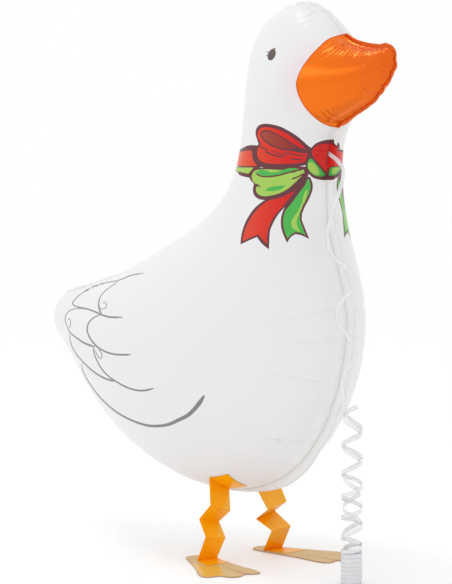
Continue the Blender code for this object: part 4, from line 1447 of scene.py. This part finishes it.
def ribbon_curl(across, towards):
    """The curl, the coil and the strand back up inside them, as points and outward directions."""
    centre = np.array([*CURL_CENTRE, 0.0])
    half_turns, up_turns = len(CURL_HEIGHTS) - 1, len(INNER_HEIGHTS) - 1
    last = half_turns + 2 * COIL_TURNS
    top = up_turns + RIBBON_END_SHARE
    turn = 2 * HALF_TURN_POINTS
    down = np.linspace(CURL_START * math.pi, half_turns * math.pi, half_turns * HALF_TURN_POINTS)
    down_z = np.interp(down / math.pi, np.arange(half_turns + 1), CURL_HEIGHTS)
    coil = np.linspace(half_turns * math.pi, last * math.pi, int(COIL_TURNS * turn) + 1)[1:]
    coil_z = np.linspace(CURL_HEIGHTS[-1], COIL_BOTTOM, len(coil) + 1)[1:]
    cross = np.linspace(last * math.pi, (last + 2) * math.pi, turn + 1)[1:]
    cross_z = np.full(turn, COIL_BOTTOM)
    rise = np.linspace((last + 2) * math.pi, (last + 6) * math.pi, 2 * turn + 1)[1:]
    rise_z = np.linspace(COIL_BOTTOM, INNER_HEIGHTS[0], 2 * turn + 1)[1:]
    up = np.linspace(0.0, top * math.pi, int(top * HALF_TURN_POINTS))[1:]
    up_z = np.interp(up / math.pi, list(range(up_turns + 1)) + [top], INNER_HEIGHTS + [RIBBON_END_HEIGHT])
    angles = np.concatenate([down, coil, cross, rise, up + (last + 6) * math.pi])
    heights = np.concatenate([down_z, coil_z, cross_z, rise_z, up_z])
    radii = np.concatenate([
        np.full(len(down) + len(coil), CURL_RADIUS),
        np.linspace(CURL_RADIUS, INNER_RADIUS, turn + 1)[1:],
        np.full(len(rise) + len(up), INNER_RADIUS),
    ])
    smooth = running_mean(heights[:, None], HEIGHT_SPREAD)[:, 0]
    away = np.array([across * math.cos(angle) + towards * math.sin(angle) for angle in angles])
    points = centre + radii[:, None] * away
    points[:, 2] += smooth
    return points, away


def ribbon_line():
    """The ribbon's middle line and, at each point, the way that its face looks."""
    _, right, _, forward = camera_axes()
    across = np.array(right)
    towards = -np.array([forward.x, forward.y, 0.0]) / math.hypot(forward.x, forward.y)
    curl, curl_away = ribbon_curl(across, towards)

    dense = smooth_run(RIBBON_ROUTE + [tuple(curl[0]), tuple(curl[1])])[:-SPAN_POINTS]
    travelled = way_along(dense)
    places = np.arange(0.0, travelled[-1], ROUTE_STEP)
    route = np.stack([np.interp(places, travelled, dense[:, k]) for k in range(3)], axis=1)
    mean = running_mean(route, ROUTE_SPREAD)
    aside = np.clip((route - mean) @ across / ROUTE_SWAY, -1.0, 1.0)[:, None]
    away = towards * (FACE_FRONT - FACE_SWING * np.abs(aside)) + across * FACE_SWING * aside
    flat_on_strip = np.clip(1 - np.arange(len(route)) / FLAT_ON_STRIP, 0.0, 1.0)[:, None]
    away = unit_rows(away * (1 - flat_on_strip) + np.array([0.0, -1.0, 0.0]) * flat_on_strip)
    line = np.concatenate([route, curl])
    eased = running_mean(line, JOIN_SPREAD)
    from_join = np.abs(np.arange(len(line)) - (len(route) - JOIN_SPREAD))
    nearness = np.clip((3 * JOIN_SPREAD - from_join) / JOIN_SPREAD, 0.0, 1.0)[:, None]
    return line + (eased - line) * nearness, np.concatenate([away, curl_away])


def make_ribbon(film):
    """The curling ribbon as a flat strip along its line."""
    line, away = ribbon_line()
    along = unit_rows(np.gradient(line, axis=0))
    width = unit_rows(np.cross(along, away))
    for _ in range(3):
        padded = np.pad(width, ((1, 1), (0, 0)), mode="edge")
        width = padded[:-2] + padded[1:-1] + padded[2:]
        width = unit_rows(width - (width * along).sum(axis=1)[:, None] * along)
    face = np.cross(width, along)
    half, thick = RIBBON_WIDTH / 2, RIBBON_THICKNESS / 2
    columns = [(-1.0, -1), (-0.33, -1), (0.33, -1), (1.0, -1), (1.0, 1), (0.33, 1), (-0.33, 1), (-1.0, 1)]
    points, faces = [], []
    for row in range(len(line)):
        for aside, layer in columns:
            points.append(line[row] + width[row] * half * aside + face[row] * thick * layer)
    count = len(columns)
    for row in range(len(line) - 1):
        for k in range(count):
            a, b = row * count + k, row * count + (k + 1) % count
            faces.append((a, b, b + count, a + count))
    last = (len(line) - 1) * count
    faces += [tuple(range(count - 1, -1, -1)), tuple(range(last, last + count))]
    ribbon = mesh_object("curling_ribbon", points, faces, [film])
    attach(ribbon, "root")
    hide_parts("ribbon_drop", "ribbon_curl", "ribbon_coil")


def make_stage():
    """A white floor and soft light all round, with one broad lamp behind on the left and one above."""
    mesh = bpy.data.meshes.new("floor")
    reach = FLOOR_HALF_WIDTH
    mesh.from_pydata([(-reach, -reach, 0), (reach, -reach, 0), (reach, reach, 0), (-reach, reach, 0)],
                     [], [(0, 1, 2, 3)])
    floor = placed("floor", mesh)
    mesh.materials.append(plain_material("floor", (1.0, 1.0, 1.0), 0.6, mottle=0.002))
    floor.location.z = -FLOOR_DROP
    world = bpy.data.worlds.new("studio")
    world.use_nodes = True
    world.node_tree.nodes["Background"].inputs["Color"].default_value = (1.0, 1.0, 1.0, 1.0)
    world.node_tree.nodes["Background"].inputs["Strength"].default_value = WORLD_STRENGTH
    bpy.context.scene.world = world
    bpy.context.scene.view_settings.view_transform = "Standard"
    _, right, _, forward = camera_axes()
    middle = Vector(CAMERA_AIM)
    level = Vector((forward.x, forward.y, 0.0)).normalized()
    for name, aside, ahead, up, width, height, power in LAMPS:
        light = bpy.data.lights.new(name, "AREA")
        light.shape = "RECTANGLE"
        light.size, light.size_y = width, height
        light.energy = power
        lamp = placed(name, light)
        lamp.location = middle + right * aside + level * ahead + Vector((0.0, 0.0, up))
        lamp.rotation_mode = "QUATERNION"
        lamp.rotation_quaternion = (middle - lamp.location).to_track_quat("-Z", "Y")


def main():
    """Dress the part and set the stage."""
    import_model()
    make_camera()
    balloon = make_balloon(balloon_materials())
    bpy.context.view_layer.update()
    make_feet(foot_materials())
    film = {"mottle": 0.03, "Specular IOR Level": 0.1}
    doubled = plain_material("film_doubled", tone(253, 167, 0), 0.3, **film)
    single = plain_material("film_single", tone(246, 176, 58), 0.3, **film)
    make_legs(balloon, doubled, single)
    make_ribbon(plain_material("ribbon_film", tone(240, 240, 243), 0.22, mottle=0.01, Alpha=0.62))
    make_stage()


main()
